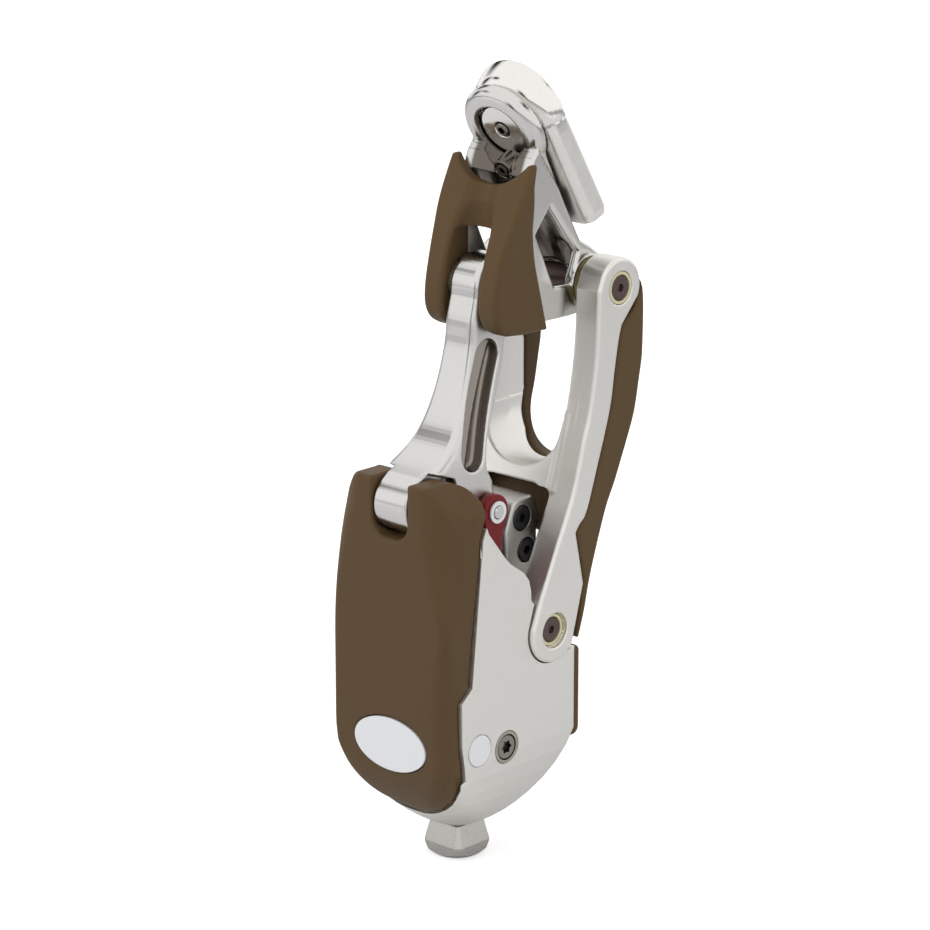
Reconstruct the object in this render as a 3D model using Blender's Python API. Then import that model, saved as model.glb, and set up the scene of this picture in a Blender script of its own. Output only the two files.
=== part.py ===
"""Prosthetic hip joint: a four-bar hip with a hydraulic unit and elastomer springs.

Lengths are millimetres until a mesh is made. +Z is up, -Y is the front and +X is the
side with the small disc. The origin is the middle of the pyramid adapter's end face.
"""
import math

import bmesh
import bpy
from mathutils import Matrix, Vector

MM = 0.001
GAP = 0.3

# Many near-parallel walls meet in this one, which the exact solver leaves open.
MANIFOLD_SOLVED = ("housing",)

# The four pivots of the linkage, the strap and disc centres, as (y, z); every axis runs along X.
LOWER_FRONT = (-26.0, 150.5)
UPPER_FRONT = (16.0, 229.0)
LOWER_REAR = (21.0, 94.5)
UPPER_REAR = (58.0, 225.6)
STRAP_PIVOT = (1.5, 144.5)
TRUNNION = (-4.6, 52.5)
SIDE_DISC = (-20.1, 55.1)

# Housing and its covers.
HALF_WIDTH = 31.0
HALF_DEPTH = 38.0
BOWL_TOP = 50.0
BOWL_DEPTH = 39.0
BOWL_BOTTOM = 15.0
SEAM = 18.5
CORNER = 5.0
WALL_INSIDE = 26.5
FORK_OUTER = 28.5
PLATE_RECESS = 2.4
COVER_WALL = 2.8
COVER_GAP = 0.6
COVER_INNER_GAP = 1.6
COVER_PROUD = 2.0
BOWL_SHIFT = 2.4
EAR_RADIUS = 11.0
EAR_WALL = 11.6
FORK_RADIUS = 8.5
NOTCH_HALF = 9.3
NOTCH_BOTTOM = 138.2
SIDE_DISC_RADIUS = 6.3
TRUNNION_HALF = 26.9
SCREW_OUTER = 30.8
FRONT_AXLE_HALF = 20.0
FRONT_BUSH_OUTER = 18.4

# Front link.
LINK_FOOT_RADIUS = 11.8
LINK_FOOT_HALF = 8.7
HUB_RADIUS = 12.8
LEVER_HALF = 14.25
LEVER_REACH = 37.0
SWEEP_RADIUS = 11.5

# Rear yoke.
ARM_INNER = 20.5
ARM_OUTER = 33.2
ARM_HEAD_RADIUS = 12.0
ARM_FOOT_RADIUS = 13.0
AXLE_RADIUS = 5.0
RING_RADIUS = 6.5
THROAT_RADIUS = 20.5
THROAT_CENTRE = 173.5
YOKE_COVER_HALF = 33.0
VALVE_BLOCK_HALF = 14.0
VALVE_SCREW_RADIUS = 4.9

# Head: the clamp eye's axis leans back by this angle; N runs back along it, U runs down.
EYE_TILT = math.radians(27.0)
EYE_CENTRE = (29.2, 289.8)
EYE_RADIUS = 18.6
EYE_NOSE_RADIUS = 14.2
EYE_DEPTH = 6.0
EYE_BORE = 11.0
HEAD_HALF = 17.4
HEAD_INNER = 13.0
HEAD_COVER_HALF = 22.3
HEAD_COVER_LOW_HALF = 19.6
PLATE_THICK = 11.0
PLATE_LENGTH = 47.5

# Pyramid adapter.
PYRAMID_HALF = 10.2
PYRAMID_CORNER = 12.85
PYRAMID_EDGE = 5.0
PYRAMID_HEIGHT = 13.5
PYRAMID_TAPER = math.tan(math.radians(15.0))

# Hydraulic cylinder, rod and springs.
CYLINDER_RADIUS = 8.8
CYLINDER_LENGTH = 58.0
ROD_RADIUS = 4.0
ROD_EYE_RADIUS = 7.4
STRAP_NEAR = 15.4
STRAP_FAR = 19.7
STRAP_PIN_RADIUS = 2.6
STRAP_PIN_HALF = 21.5
STRAP_EYE_RADIUS = 6.2


def clear_scene():
    for obj in list(bpy.data.objects):
        bpy.data.objects.remove(obj, do_unlink=True)


def material(name, color, roughness, metallic):
    made = bpy.data.materials.new(name)
    made.use_nodes = True
    shader = made.node_tree.nodes["Principled BSDF"]
    shader.inputs["Base Color"].default_value = (*color, 1.0)
    shader.inputs["Roughness"].default_value = roughness
    shader.inputs["Metallic"].default_value = metallic
    made.diffuse_color = (*color, 1.0)
    return made


def finish(name, bm, mat=None, parent=None):
    """Turns a bmesh in millimetres into a named object with smooth round faces."""
    bmesh.ops.remove_doubles(bm, verts=bm.verts, dist=0.001)
    bmesh.ops.recalc_face_normals(bm, faces=bm.faces)
    bmesh.ops.scale(bm, vec=(MM, MM, MM), verts=bm.verts)
    mesh = bpy.data.meshes.new(name)
    bm.to_mesh(mesh)
    bm.free()
    mesh.shade_smooth()
    mesh.set_sharp_from_angle(angle=math.radians(35))
    obj = bpy.data.objects.new(name, mesh)
    bpy.context.scene.collection.objects.link(obj)
    if mat:
        mesh.materials.append(mat)
    if parent:
        obj.parent = parent
        obj.matrix_parent_inverse = Matrix.Translation(parent.location).inverted()
    return obj


def pivot(name, place):
    """An empty on a joint's axis, which carries what turns about it."""
    empty = bpy.data.objects.new(name, None)
    empty.location = Vector((0.0, *place)) * MM
    empty.empty_display_size = 0.02
    bpy.context.scene.collection.objects.link(empty)
    return empty


def rounded(corners, steps=5):
    """Outline through (a, b, radius) corners, each turned into an arc of that radius."""
    points = []
    count = len(corners)
    for i, (a, b, radius) in enumerate(corners):
        here = Vector((a, b))
        before = (Vector(corners[i - 1][:2]) - here).normalized()
        after = (Vector(corners[(i + 1) % count][:2]) - here).normalized()
        if radius <= 0:
            points.append(here)
            continue
        if (before + after).length < 0.01:
            for k in range(steps + 1):
                points.append(here + (before if k < steps / 2 else after) * abs(2 * k / steps - 1))
            continue
        half = before.angle(after) / 2
        centre = here + (before + after).normalized() * (radius / math.sin(half))
        start = here + before * radius / math.tan(half) - centre
        end = here + after * radius / math.tan(half) - centre
        turn = start.angle_signed(end)
        points += [centre + Matrix.Rotation(-turn * k / steps, 2) @ start for k in range(steps + 1)]
    return [tuple(point) for point in points]


def arc(centre, radius, start, end, steps=12):
    """Points on a circle from one angle to another, in degrees."""
    turns = [math.radians(start + (end - start) * k / steps) for k in range(steps + 1)]
    return [(centre[0] + radius * math.cos(t), centre[1] + radius * math.sin(t)) for t in turns]


def circle(centre, radius, steps=32):
    return arc(centre, radius, 0, 360 - 360 / steps, steps - 1)


def capsule(first, first_radius, second, second_radius, steps=12):
    """Outline round two circles and the lines that touch both."""
    along = Vector(second) - Vector(first)
    lean = math.degrees(math.atan2(along.y, along.x))
    spread = math.degrees(math.acos((first_radius - second_radius) / along.length))
    near = arc(first, first_radius, lean + spread, lean + 360 - spread, steps)
    return near + arc(second, second_radius, lean - spread, lean + spread, steps)


def placed(axis, a, b, depth):
    """A point of an outline laid across one axis, at a depth along that axis."""
    return {"X": (depth, a, b), "Y": (a, depth, b), "Z": (a, b, depth)}[axis]


def plate(name, outline, low, high, mat=None, axis="X", parent=None):
    """A flat outline extruded along an axis from low to high."""
    bm = bmesh.new()
    face = bm.faces.new([bm.verts.new(placed(axis, a, b, low)) for a, b in outline])
    pushed = bmesh.ops.extrude_face_region(bm, geom=[face])["geom"]
    rise = Vector(placed(axis, 0.0, 0.0, high - low))
    tops = [item for item in pushed if isinstance(item, bmesh.types.BMVert)]
    bmesh.ops.translate(bm, verts=tops, vec=rise)
    return finish(name, bm, mat, parent)


def turned(name, profile, centre, axis, mat=None, steps=32, parent=None):
    """A profile of (radius, height) points spun about an axis through a centre."""
    bm = bmesh.new()
    verts = [bm.verts.new((radius, 0.0, height)) for radius, height in profile]
    edges = [bm.edges.new(pair) for pair in zip(verts, verts[1:])]
    if profile[0][0] > 0 and profile[-1][0] > 0:
        edges.append(bm.edges.new((verts[-1], verts[0])))
    bmesh.ops.spin(
        bm, geom=verts + edges, cent=(0, 0, 0), axis=(0, 0, 1),
        angle=math.tau, steps=steps, use_merge=False,
    )
    bmesh.ops.remove_doubles(bm, verts=bm.verts, dist=0.001)
    turn = Vector((0, 0, 1)).rotation_difference(Vector(axis)).to_matrix().to_4x4()
    bmesh.ops.transform(bm, matrix=Matrix.Translation(centre) @ turn, verts=bm.verts)
    return finish(name, bm, mat, parent)


def pin(name, centre, radius, low, high, mat=None, chamfer=0.5, steps=24, parent=None):
    """A round pin along X through (y, z), with chamfered ends."""
    profile = [(0, low), (radius - chamfer, low), (radius, low + chamfer)]
    profile += [(radius, high - chamfer), (radius - chamfer, high), (0, high)]
    return turned(name, profile, (0, *centre), (1, 0, 0), mat, steps, parent)


def ring(name, centre, inner, outer, low, high, mat=None, steps=24, parent=None):
    """A flat-ended bush along X through (y, z)."""
    profile = [(inner, low), (outer, low), (outer, high), (inner, high)]
    return turned(name, profile, (0, *centre), (1, 0, 0), mat, steps, parent)


def bore(centre, radius, low, high, steps=28):
    """A hidden cutter along X through (y, z)."""
    return plate(f"bore_{len(bpy.data.objects)}", circle(centre, radius, steps), low, high)


def loft(name, rings, mat=None, parent=None):
    """A skin through equal rings of points, closed by its first and last ring."""
    bm = bmesh.new()
    rows = [[bm.verts.new(point) for point in row] for row in rings]
    count = len(rows[0])
    for low, high in zip(rows, rows[1:]):
        for i in range(count):
            j = (i + 1) % count
            bm.faces.new((low[i], low[j], high[j], high[i]))
    bm.faces.new(rows[0])
    bm.faces.new(rows[-1])
    return finish(name, bm, mat, parent)


def combine(obj, tool, operation):
    """Adds a Boolean with a hidden tool object."""
    tool.hide_render = True
    tool.display_type = "WIRE"
    boolean = obj.modifiers.new(operation.lower(), "BOOLEAN")
    boolean.operation = operation
    boolean.solver = "MANIFOLD" if obj.name in MANIFOLD_SOLVED else "EXACT"
    boolean.object = tool


def keep(obj, tool):
    combine(obj, tool, "INTERSECT")


def cut(obj, *tools):
    for tool in tools:
        combine(obj, tool, "DIFFERENCE")


def join(obj, *tools):
    for tool in tools:
        combine(obj, tool, "UNION")


def soften(obj, width, segments=2, angle=40):
    """Rounds the sharp edges by a bevel of this width."""
    bevel = obj.modifiers.new("edge", "BEVEL")
    bevel.width = width * MM
    bevel.segments = segments
    bevel.limit_method = "ANGLE"
    bevel.angle_limit = math.radians(angle)


def head_point(n, u):
    """(y, z) of a point n back along the clamp axis and u down the plate."""
    cos, sin = math.cos(EYE_TILT), math.sin(EYE_TILT)
    return (EYE_CENTRE[0] + n * cos + u * sin, EYE_CENTRE[1] + n * sin - u * cos)


clear_scene()
BROWN = material("cover_polymer", (0.125, 0.08, 0.045), 0.55, 0.0)
ALUMINIUM = material("satin_aluminium", (0.6, 0.59, 0.57), 0.4, 1.0)
POLISHED = material("polished_metal", (0.62, 0.61, 0.6), 0.15, 1.0)
STEEL = material("brushed_steel", (0.42, 0.4, 0.38), 0.35, 1.0)
DARK_STEEL = material("dark_steel", (0.12, 0.11, 0.1), 0.35, 1.0)
AXLE_MAUVE = material("axle_coating", (0.1, 0.07, 0.06), 0.4, 0.6)
BUSH_YELLOW = material("bush_polymer", (0.68, 0.64, 0.4), 0.5, 0.0)
OLIVE = material("flange_bronze", (0.25, 0.2, 0.07), 0.45, 0.5)
RED = material("spring_elastomer", (0.21, 0.015, 0.018), 0.5, 0.0)
WHITE = material("white_label", (0.85, 0.86, 0.88), 0.3, 0.0)
BLACK = material("black_screw", (0.015, 0.014, 0.013), 0.4, 0.8)
CHROME = material("hard_chrome", (0.55, 0.55, 0.56), 0.08, 1.0)

link_axis = pivot("front_link_axis", LOWER_FRONT)
yoke_axis = pivot("yoke_axis", LOWER_REAR)
head_axis = pivot("head_axis", UPPER_REAR)
plate_axis = pivot("plate_axis", EYE_CENTRE)
cylinder_axis = pivot("cylinder_axis", TRUNNION)
rod_axis = pivot("rod_axis", STRAP_PIVOT)


# Housing: a straight-sided body that closes below into a round bowl.
def bowl_factor(z):
    """Share of the full section left at a height, one above the bowl."""
    if z >= BOWL_TOP:
        return 1.0
    return (1 - ((BOWL_TOP - z) / BOWL_DEPTH) ** 2) ** 0.6


def bowl_corner(z):
    """Corner radius of the section: round at the bottom, tight above the bowl."""
    share = min(1.0, (z - BOWL_BOTTOM) / (BOWL_TOP - BOWL_BOTTOM))
    return (1 - share) * HALF_WIDTH * bowl_factor(z) * 0.97 + share * CORNER


def bowl_shift(z):
    """How far back the section's middle lies: the bowl's bottom is behind the body's middle."""
    return BOWL_SHIFT * (1 - bowl_factor(z) ** 4)


def between(z, knots):
    """Value at a height, on straight lines through (height, value) knots."""
    if z <= knots[0][0]:
        return knots[0][1]
    for (low, first), (high, second) in zip(knots, knots[1:]):
        if z <= high:
            return first + (second - first) * (z - low) / (high - low)
    return knots[-1][1]


def housing_ring(z):
    half = HALF_WIDTH * bowl_factor(z)
    deep = HALF_DEPTH * bowl_factor(z)
    radius = bowl_corner(z)
    corners = [(half, deep, radius), (half, -deep, radius), (-half, -deep, radius), (-half, deep, radius)]
    return [(x, y + bowl_shift(z), z) for x, y in rounded(corners, 7)]


# Half-widths of the cover's front face on its two sides, and the front corners' radii.
FRONT_RIGHT = ((104.0, 31.0), (117.0, 26.4), (127.0, 23.4), (136.0, 20.8), (153.0, 19.6))
FRONT_LEFT = ((44.0, 31.0), (56.0, 33.0), (100.0, 33.0), (115.0, 31.2), (127.0, 28.8), (140.0, 26.0),
              (153.0, 21.2))
RIGHT_RADIUS = ((50.0, 5.5), (60.0, 8.5), (84.0, 8.5), (104.0, 4.0), (117.0, 3.0))
LEFT_SIDE = ((44.0, 0.0), (56.0, COVER_PROUD))


def cover_ring(z, inset):
    """Section of the front cover: a flat front between two flat side facets."""
    scale = bowl_factor(z)
    right = HALF_WIDTH * scale - inset
    left = (HALF_WIDTH + between(z, LEFT_SIDE)) * scale - inset
    front = inset - HALF_DEPTH * scale
    low_radius = bowl_corner(z)
    right_radius = max(between(z, RIGHT_RADIUS), low_radius)
    left_radius = max(3.2, low_radius)
    flank = max(low_radius * 1.1, 12.0) + 0.36 * inset - HALF_DEPTH * scale
    front_right = between(z, FRONT_RIGHT) * scale - inset
    front_left = between(z, FRONT_LEFT) * scale - inset
    corners = [(right, 20.0, 0), (right, flank, 0.8), (front_right, front, (right_radius - inset) * 0.95)]
    corners += [(-front_left, front, (left_radius - inset * 0.7) * 0.95), (-left, flank, 0.8),
                (-left, 20.0, 0)]
    return [(x, y + bowl_shift(z), z) for x, y in rounded(corners, 6)]


def cover_side_outline(gap):
    """Side view of the cover's reach: up the side border and round the ear."""
    points = [(-60.0, 23.8 - gap), (-19.0 + gap, 23.8 - gap), (-26.8 + gap, 37.0), (-29.0 + gap, 50.0)]
    points += [(-30.4 + gap, 58.0), (-30.6 + gap, 76.6), (-24.8 + gap, 81.4), (-18.9 + gap, 139.0)]
    points += arc(LOWER_FRONT, EAR_RADIUS + gap, -20, 90, 8)
    return points + [(-60.0, LOWER_FRONT[1] + EAR_RADIUS + gap)]


# Front view of an ear's round shoulder, from the side up to the top.
EAR_SHOULDER = [(31.6, 134.0), (30.4, 142.5), (28.2, 149.5), (25.2, 155.0), (21.4, 159.6), (17.0, 163.0)]


def cover_front_outline(gap):
    """Front view of the cover's reach: straight sides, round shoulders and a round lower end."""
    lower = []
    for degrees in range(180, 361, 9):
        turn = math.radians(degrees)
        half = (33.6 if degrees < 270 else 31.6) + gap
        lower.append((half * math.cos(turn), 54.0 + (30.0 + gap) * math.sin(turn)))
    if gap:
        return [(40.0, 175.0), (-40.0, 175.0)] + lower
    mirrored = [(-x, z) for x, z in reversed(EAR_SHOULDER)]
    return EAR_SHOULDER + mirrored + [(-33.6, 122.0)] + lower


BOWL_LEVELS = (SEAM, 21.5, 25.5, 30.5, 36.5, 43.0, BOWL_TOP)
COVER_LEVELS = (22.5, 26.0, 30.5, 36.5, 43.0, 50.0, 57.0, 70.0, 84.0, 104.0, 110.0, 117.0, 122.0, 127.0,
                133.0, 140.0,
                144.0, 148.5, 153.0, 165.0)
CORE_LEVELS = COVER_LEVELS[:-1] + (180.0,)

housing = loft("housing", [housing_ring(z) for z in BOWL_LEVELS + (168.0,)], ALUMINIUM)
housing_side = [(-60.0, 0.0), (60.0, 0.0), (60.0, 84.0), (34.0, 84.0), (32.0, 100.0), (29.0, 106.0)]
housing_side += [(12.0, 106.0), (9.3, 109.0), (9.0, 113.6), (7.8, 117.8), (5.0, 121.3), (-2.6, 126.6),
                 (-5.6, 129.6)]
housing_side += [(-15.0, 141.3)] + arc(LOWER_FRONT, FORK_RADIUS - 0.7, -10, 180, 12) + [(-60.0, 150.5)]
keep(housing, plate("housing_side_keep", housing_side, -40, 40))
cavity = rounded([(-31.0, 42.0, 6.0), (8.8, 42.0, 6.0), (8.8, 106.0, 0), (12.5, 106.0, 0), (12.5, 180.0, 0),
                  (-31.0, 180.0, 0)])
cut(housing, plate("housing_cavity", cavity, -WALL_INSIDE, WALL_INSIDE))
fork = arc(LOWER_FRONT, FORK_RADIUS, 0, 180, 12) + [(-34.5, 116.0), (-17.5, 124.0)]
for side in (-1, 1):
    low, high = sorted((side * (EAR_WALL + GAP), side * FORK_OUTER))
    join(housing, plate(f"fork_{high:.0f}", fork, low, high))


def cover_parts(gap):
    """The front cover, or with a gap the space that it takes from the housing."""
    shape = plate(f"cover_shape_{gap}", cover_side_outline(gap), -45, 45)
    if not gap:
        keep(shape, loft("cover_outside", [cover_ring(z, 0.0) for z in COVER_LEVELS]))
    keep(shape, plate(f"cover_front_{gap}", cover_front_outline(gap), -70, 10, axis="Y"))
    lower = [(-60.0, 0.0), (60.0, 0.0), (60.0, 136.0 - gap), (-60.0, 136.0 - gap)]
    upper = arc(LOWER_FRONT, FORK_RADIUS + GAP - gap, 0, 180, 12) + [(-60.0, 100.0), (60.0, 100.0),
                                                                     (60.0, 150.5)]
    rings = [cover_ring(z, COVER_WALL + COVER_INNER_GAP * gap) for z in CORE_LEVELS]
    core = loft(f"cover_core_{gap}", rings)
    keep(core, plate(f"core_low_{gap}", lower, -45, 45))
    cut(shape, core)
    for side in (-1, 1):
        low, high = sorted((side * (EAR_WALL + gap), side * 45.0))
        ear = loft(f"ear_core_{side}_{gap}",
                   [cover_ring(z, COVER_WALL + COVER_INNER_GAP * gap + 0.3) for z in CORE_LEVELS])
        keep(ear, plate(f"ear_keep_{side}_{gap}", upper, low, high))
        cut(shape, ear)
    return shape


def lever_sweep(name):
    """The space behind and below the lower front axle that the link's lever swings through."""
    outside = arc(LOWER_FRONT, LEVER_REACH, -70, 8, 12)
    inside = arc(LOWER_FRONT, SWEEP_RADIUS, 8, -70, 12)
    return plate(name, outside + inside, -LEVER_HALF - 0.4, LEVER_HALF + 0.4)


cut(housing, cover_parts(COVER_GAP))
arm_space = arc(LOWER_REAR, ARM_FOOT_RADIUS + 0.6, -60, -190, 14)
arm_space += [(8.6, 100.0), (12.4, 112.0), (14.0, 140.0), (70.0, 140.0), (70.0, 86.0), (36.0, 84.3)]
for side in (-1, 1):
    low, high = sorted((side * (ARM_INNER - GAP), side * 45.0))
    cut(housing, plate(f"arm_space_{side}", arm_space, low, high))
for side in (-1, 1):
    trim = [(side * (x - 1.2), z - 1.4) for x, z in EAR_SHOULDER] + [(side * 10.0, 200.0),
                                                                     (side * 45.0, 200.0)]
    cut(housing, plate(f"shoulder_trim_{side}", trim + [(side * 45.0, 134.6)], -60, -18.5, axis="Y"))
cut(housing, lever_sweep("housing_sweep"))
slot = [(-NOTCH_HALF, 136.0), (NOTCH_HALF, 136.0), (NOTCH_HALF, 180.0), (-NOTCH_HALF, 180.0)]
cut(housing, plate("tongue_slot", slot, -50, -20, axis="Y"))
rear_recess = [(-32.0, 44.5), (32.0, 44.5), (32.0, 90.0), (-32.0, 90.0)]
cut(housing, plate("rear_recess", rear_recess, HALF_DEPTH - PLATE_RECESS, 50, axis="Y"))
cut(housing, bore(LOWER_REAR, RING_RADIUS + GAP, -35, 35), bore(LOWER_FRONT, RING_RADIUS + GAP, -25, 25))
cut(housing, bore(TRUNNION, AXLE_RADIUS + GAP, -35, 35))
for side in (-1, 1):
    low, high = sorted((side * 29.4, side * 40.0))
    cut(housing, bore(TRUNNION, RING_RADIUS + GAP, low, high))
cut(housing, bore(SIDE_DISC, SIDE_DISC_RADIUS + GAP, 30.1, 40))

loft("dome_cap", [housing_ring(z) for z in (BOWL_BOTTOM, 16.3, SEAM - GAP)], ALUMINIUM)

front_cover = cover_parts(0.0)
front_cover.name = "front_cover"
front_cover.data.materials.append(BROWN)
notch = rounded([(-NOTCH_HALF, NOTCH_BOTTOM, 4.5), (NOTCH_HALF, NOTCH_BOTTOM, 4.5),
                 (NOTCH_HALF, 180.0, 0), (-NOTCH_HALF, 180.0, 0)])
cut(front_cover, plate("cover_notch", notch, -60, 0, axis="Y"))
cut(front_cover, bore(LOWER_FRONT, AXLE_RADIUS, -EAR_WALL - 1, EAR_WALL + 1))
cut(front_cover, bore(LOWER_FRONT, LINK_FOOT_RADIUS + 0.4, -NOTCH_HALF + 0.1, NOTCH_HALF - 0.1, 48))
cut(front_cover, lever_sweep("cover_sweep"))
BADGE_CENTRE = (0.0, 55.0)
BADGE_HALF = (19.0, 10.7)
BADGE_PROUD = 0.3
BADGE_DEPTH = 0.8


def ellipse(scale, steps=40):
    turns = [math.tau * k / steps for k in range(steps)]
    half = [size + scale for size in BADGE_HALF]
    return [(BADGE_CENTRE[0] + half[0] * math.cos(t), BADGE_CENTRE[1] + half[1] * math.sin(t)) for t in turns]


cut(front_cover, plate("badge_recess", ellipse(GAP), -50, BADGE_DEPTH + GAP - HALF_DEPTH, axis="Y"))
plate("oval_badge", ellipse(0), -HALF_DEPTH - BADGE_PROUD, BADGE_DEPTH - HALF_DEPTH, WHITE, axis="Y")
pin("side_disc", SIDE_DISC, SIDE_DISC_RADIUS, 30.4, 31.2, WHITE, 0.2)

rear_panel = rounded([(-30.4, 45.0, 5.0), (30.4, 45.0, 5.0), (30.4, 83.6, 2.0), (-30.4, 83.6, 2.0)])
rear_cover = plate("rear_cover", rear_panel, HALF_DEPTH - PLATE_RECESS + GAP, HALF_DEPTH + 0.6, BROWN,
                   axis="Y")
soften(rear_cover, 0.8)


# Pyramid adapter: an upturned square pyramid with turned corners and a short neck.
def square(half, z):
    return [(half, half, z), (half, -half, z), (-half, -half, z), (-half, half, z)]


shrink = (PYRAMID_HEIGHT - PYRAMID_EDGE) * PYRAMID_TAPER
adapter = loft("pyramid_adapter", [square(PYRAMID_HALF, 0.0), square(PYRAMID_HALF, PYRAMID_EDGE),
                                   square(PYRAMID_HALF - shrink, PYRAMID_HEIGHT)], STEEL)
turned_corners = [(0, -1), (9.0, -1), (9.4, 0.0), (11.9, 1.6), (PYRAMID_CORNER, 4.0),
                  (PYRAMID_CORNER, PYRAMID_EDGE),
                  (PYRAMID_CORNER - shrink, PYRAMID_HEIGHT), (10.0, 15.0), (0, 15.0)]
keep(adapter, turned("turned_corners", turned_corners, (0, 0, 0), (0, 0, 1)))
join(adapter, turned("adapter_neck", [(0, 10.0), (7.4, 10.0), (7.4, 14.7), (0, 14.7)], (0, 0, 0), (0, 0, 1)))

# Lower axle of the springs and the cylinder, held by a torx screw and washer on each side.
pin("trunnion", TRUNNION, AXLE_RADIUS - GAP, -TRUNNION_HALF, TRUNNION_HALF, STEEL)
for side, word in ((-1, "left"), (1, "right")):
    low, high = sorted((side * (TRUNNION_HALF + GAP), side * SCREW_OUTER))
    screw = pin(f"torx_screw_{word}", TRUNNION, AXLE_RADIUS, low, high, DARK_STEEL, 0.4)
    low, high = sorted((side * 29.2, side * 40.0))
    star = [point for k in range(6) for point in
            [(TRUNNION[0] + r * math.cos(math.radians(a)), TRUNNION[1] + r * math.sin(math.radians(a)))
             for r, a in ((3.0, k * 60), (2.1, k * 60 + 30))]]
    cut(screw, plate(f"star_{word}", star, low, high))
    low, high = sorted((side * 29.7, side * 31.0))
    ring(f"screw_washer_{word}", TRUNNION, AXLE_RADIUS + GAP, RING_RADIUS, low, high, BUSH_YELLOW)

# Lower front axle in two bushes of the housing's forks.
pin("lower_front_axle", LOWER_FRONT, AXLE_RADIUS - 0.5, -FRONT_AXLE_HALF, FRONT_AXLE_HALF, STEEL)
for side, word in ((-1, "left"), (1, "right")):
    low, high = sorted((side * 12.2, side * FRONT_BUSH_OUTER))
    ring(f"front_bush_{word}", LOWER_FRONT, AXLE_RADIUS - 0.2, RING_RADIUS, low, high, BUSH_YELLOW)

# Valve block with two adjusting screws in its +X face.
block = rounded([(13.0, 106.3, 1.0), (31.5, 106.3, 3.0), (31.5, 144.5, 4.0), (18.0, 144.5, 5.0),
                 (13.0, 132.0, 6.0)])
valve_block = plate("valve_block", block, -VALVE_BLOCK_HALF, VALVE_BLOCK_HALF, ALUMINIUM)
soften(valve_block, 0.8, 1)
for word, centre in (("upper", (22.4, 136.3)), ("lower", (25.0, 122.8))):
    cut(valve_block, bore(centre, VALVE_SCREW_RADIUS + GAP, 9.7, 20))
    axis = pivot(f"valve_screw_{word}_axis", centre)
    screw = pin(f"valve_screw_{word}", centre, VALVE_SCREW_RADIUS, 10.0, 14.3, BLACK, 0.6, 28, axis)
    cut(screw, bore(centre, 2.0, 11.5, 20, 6))

# Front link: a fork of polished metal from the lower front axle to the hub inside the head.
hub = arc(UPPER_FRONT, HUB_RADIUS, -70, 180, 16)
front_edge = [(0.6, 223.0), (0.1, 211.5), (-2.0, 199.5), (-5.4, 188.0), (-8.9, 180.0), (-12.4, 175.0),
              (-17.5, 167.8), (-23.4, 162.3)]
foot = arc(LOWER_FRONT, LINK_FOOT_RADIUS, 100, 320, 14)
lever = arc(STRAP_PIVOT, 7.0, 225, 375, 9)
rear_edge = [(6.6, 155.0), (3.9, 163.1), (6.5, 171.2), (10.6, 178.8), (15.4, 189.4), (18.9, 199.6),
             (20.4, 208.6)]
link_outline = hub + front_edge + foot + [(-14.8, 147.0)] + lever + rear_edge
front_link = plate("front_link", link_outline, -LEVER_HALF, LEVER_HALF, POLISHED, parent=link_axis)
half_widths = [(245.0, 8.0), (210.0, 8.0), (200.0, 8.3), (188.0, 9.2), (175.0, 11.0), (161.0, 14.25),
               (130.0, 14.25)]
spread = [(half, z) for z, half in half_widths] + [(-half, z) for z, half in reversed(half_widths)]
keep(front_link, plate("link_widths", spread, -60, 60, axis="Y"))
for side in (-1, 1):
    low, high = sorted((side * LINK_FOOT_HALF, side * 20.0))
    under = arc(LOWER_FRONT, 12.2, 100, 370, 16) + [(-14.2, 152.0), (-16.0, 160.0)]
    cut(front_link, plate(f"foot_side_{side}", under, low, high))
    low, high = sorted((side * 3.2, side * 20.0))
    cut(front_link, plate(f"pocket_{side}", capsule((8.5, 203.0), 5.6, (-4.0, 168.0), 6.0), low, high))
cut(front_link, bore(STRAP_PIVOT, 11.2, -5.0, 5.0), bore(STRAP_PIVOT, STRAP_PIN_RADIUS + GAP, -20, 20))
cut(front_link, bore(LOWER_FRONT, AXLE_RADIUS - 0.2, -20, 20), bore(UPPER_FRONT, AXLE_RADIUS - 0.2, -20, 20))
pin("upper_front_axle", UPPER_FRONT, AXLE_RADIUS - 0.5, -12.6, 12.6, STEEL, parent=link_axis)
pin("strap_pin", STRAP_PIVOT, STRAP_PIN_RADIUS, -STRAP_PIN_HALF, STRAP_PIN_HALF, CHROME, 0.4, 20, link_axis)
for side, word in ((-1, "left"), (1, "right")):
    low, high = sorted((side * 8.3, side * 12.7))
    ring(f"hub_spacer_{word}", UPPER_FRONT, AXLE_RADIUS - 0.2, 8.2, low, high, BUSH_YELLOW, parent=link_axis)
    low, high = sorted((side * 20.0, side * 20.8))
    ring(f"strap_clip_{word}", STRAP_PIVOT, 2.8, 4.4, low, high, WHITE, 24, link_axis)
    low, high = sorted((side * STRAP_NEAR, side * STRAP_FAR))
    strap_outline = capsule(TRUNNION, 8.0, STRAP_PIVOT, STRAP_EYE_RADIUS)
    strap = plate(f"spring_strap_{word}", strap_outline, low, high, RED)
    cut(strap, bore(STRAP_PIVOT, STRAP_PIN_RADIUS + GAP, -30, 30, 24),
        bore(TRUNNION, AXLE_RADIUS, -30, 30, 24))

# Hydraulic unit: the cylinder swings on the trunnion, the rod is drawn up by the link.
reach = Vector(STRAP_PIVOT) - Vector(TRUNNION)
unit = reach.normalized()
DRAW = (0.0, unit.x, unit.y)


def on_unit(length):
    return (0.0, TRUNNION[0] + unit.x * length, TRUNNION[1] + unit.y * length)


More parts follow.
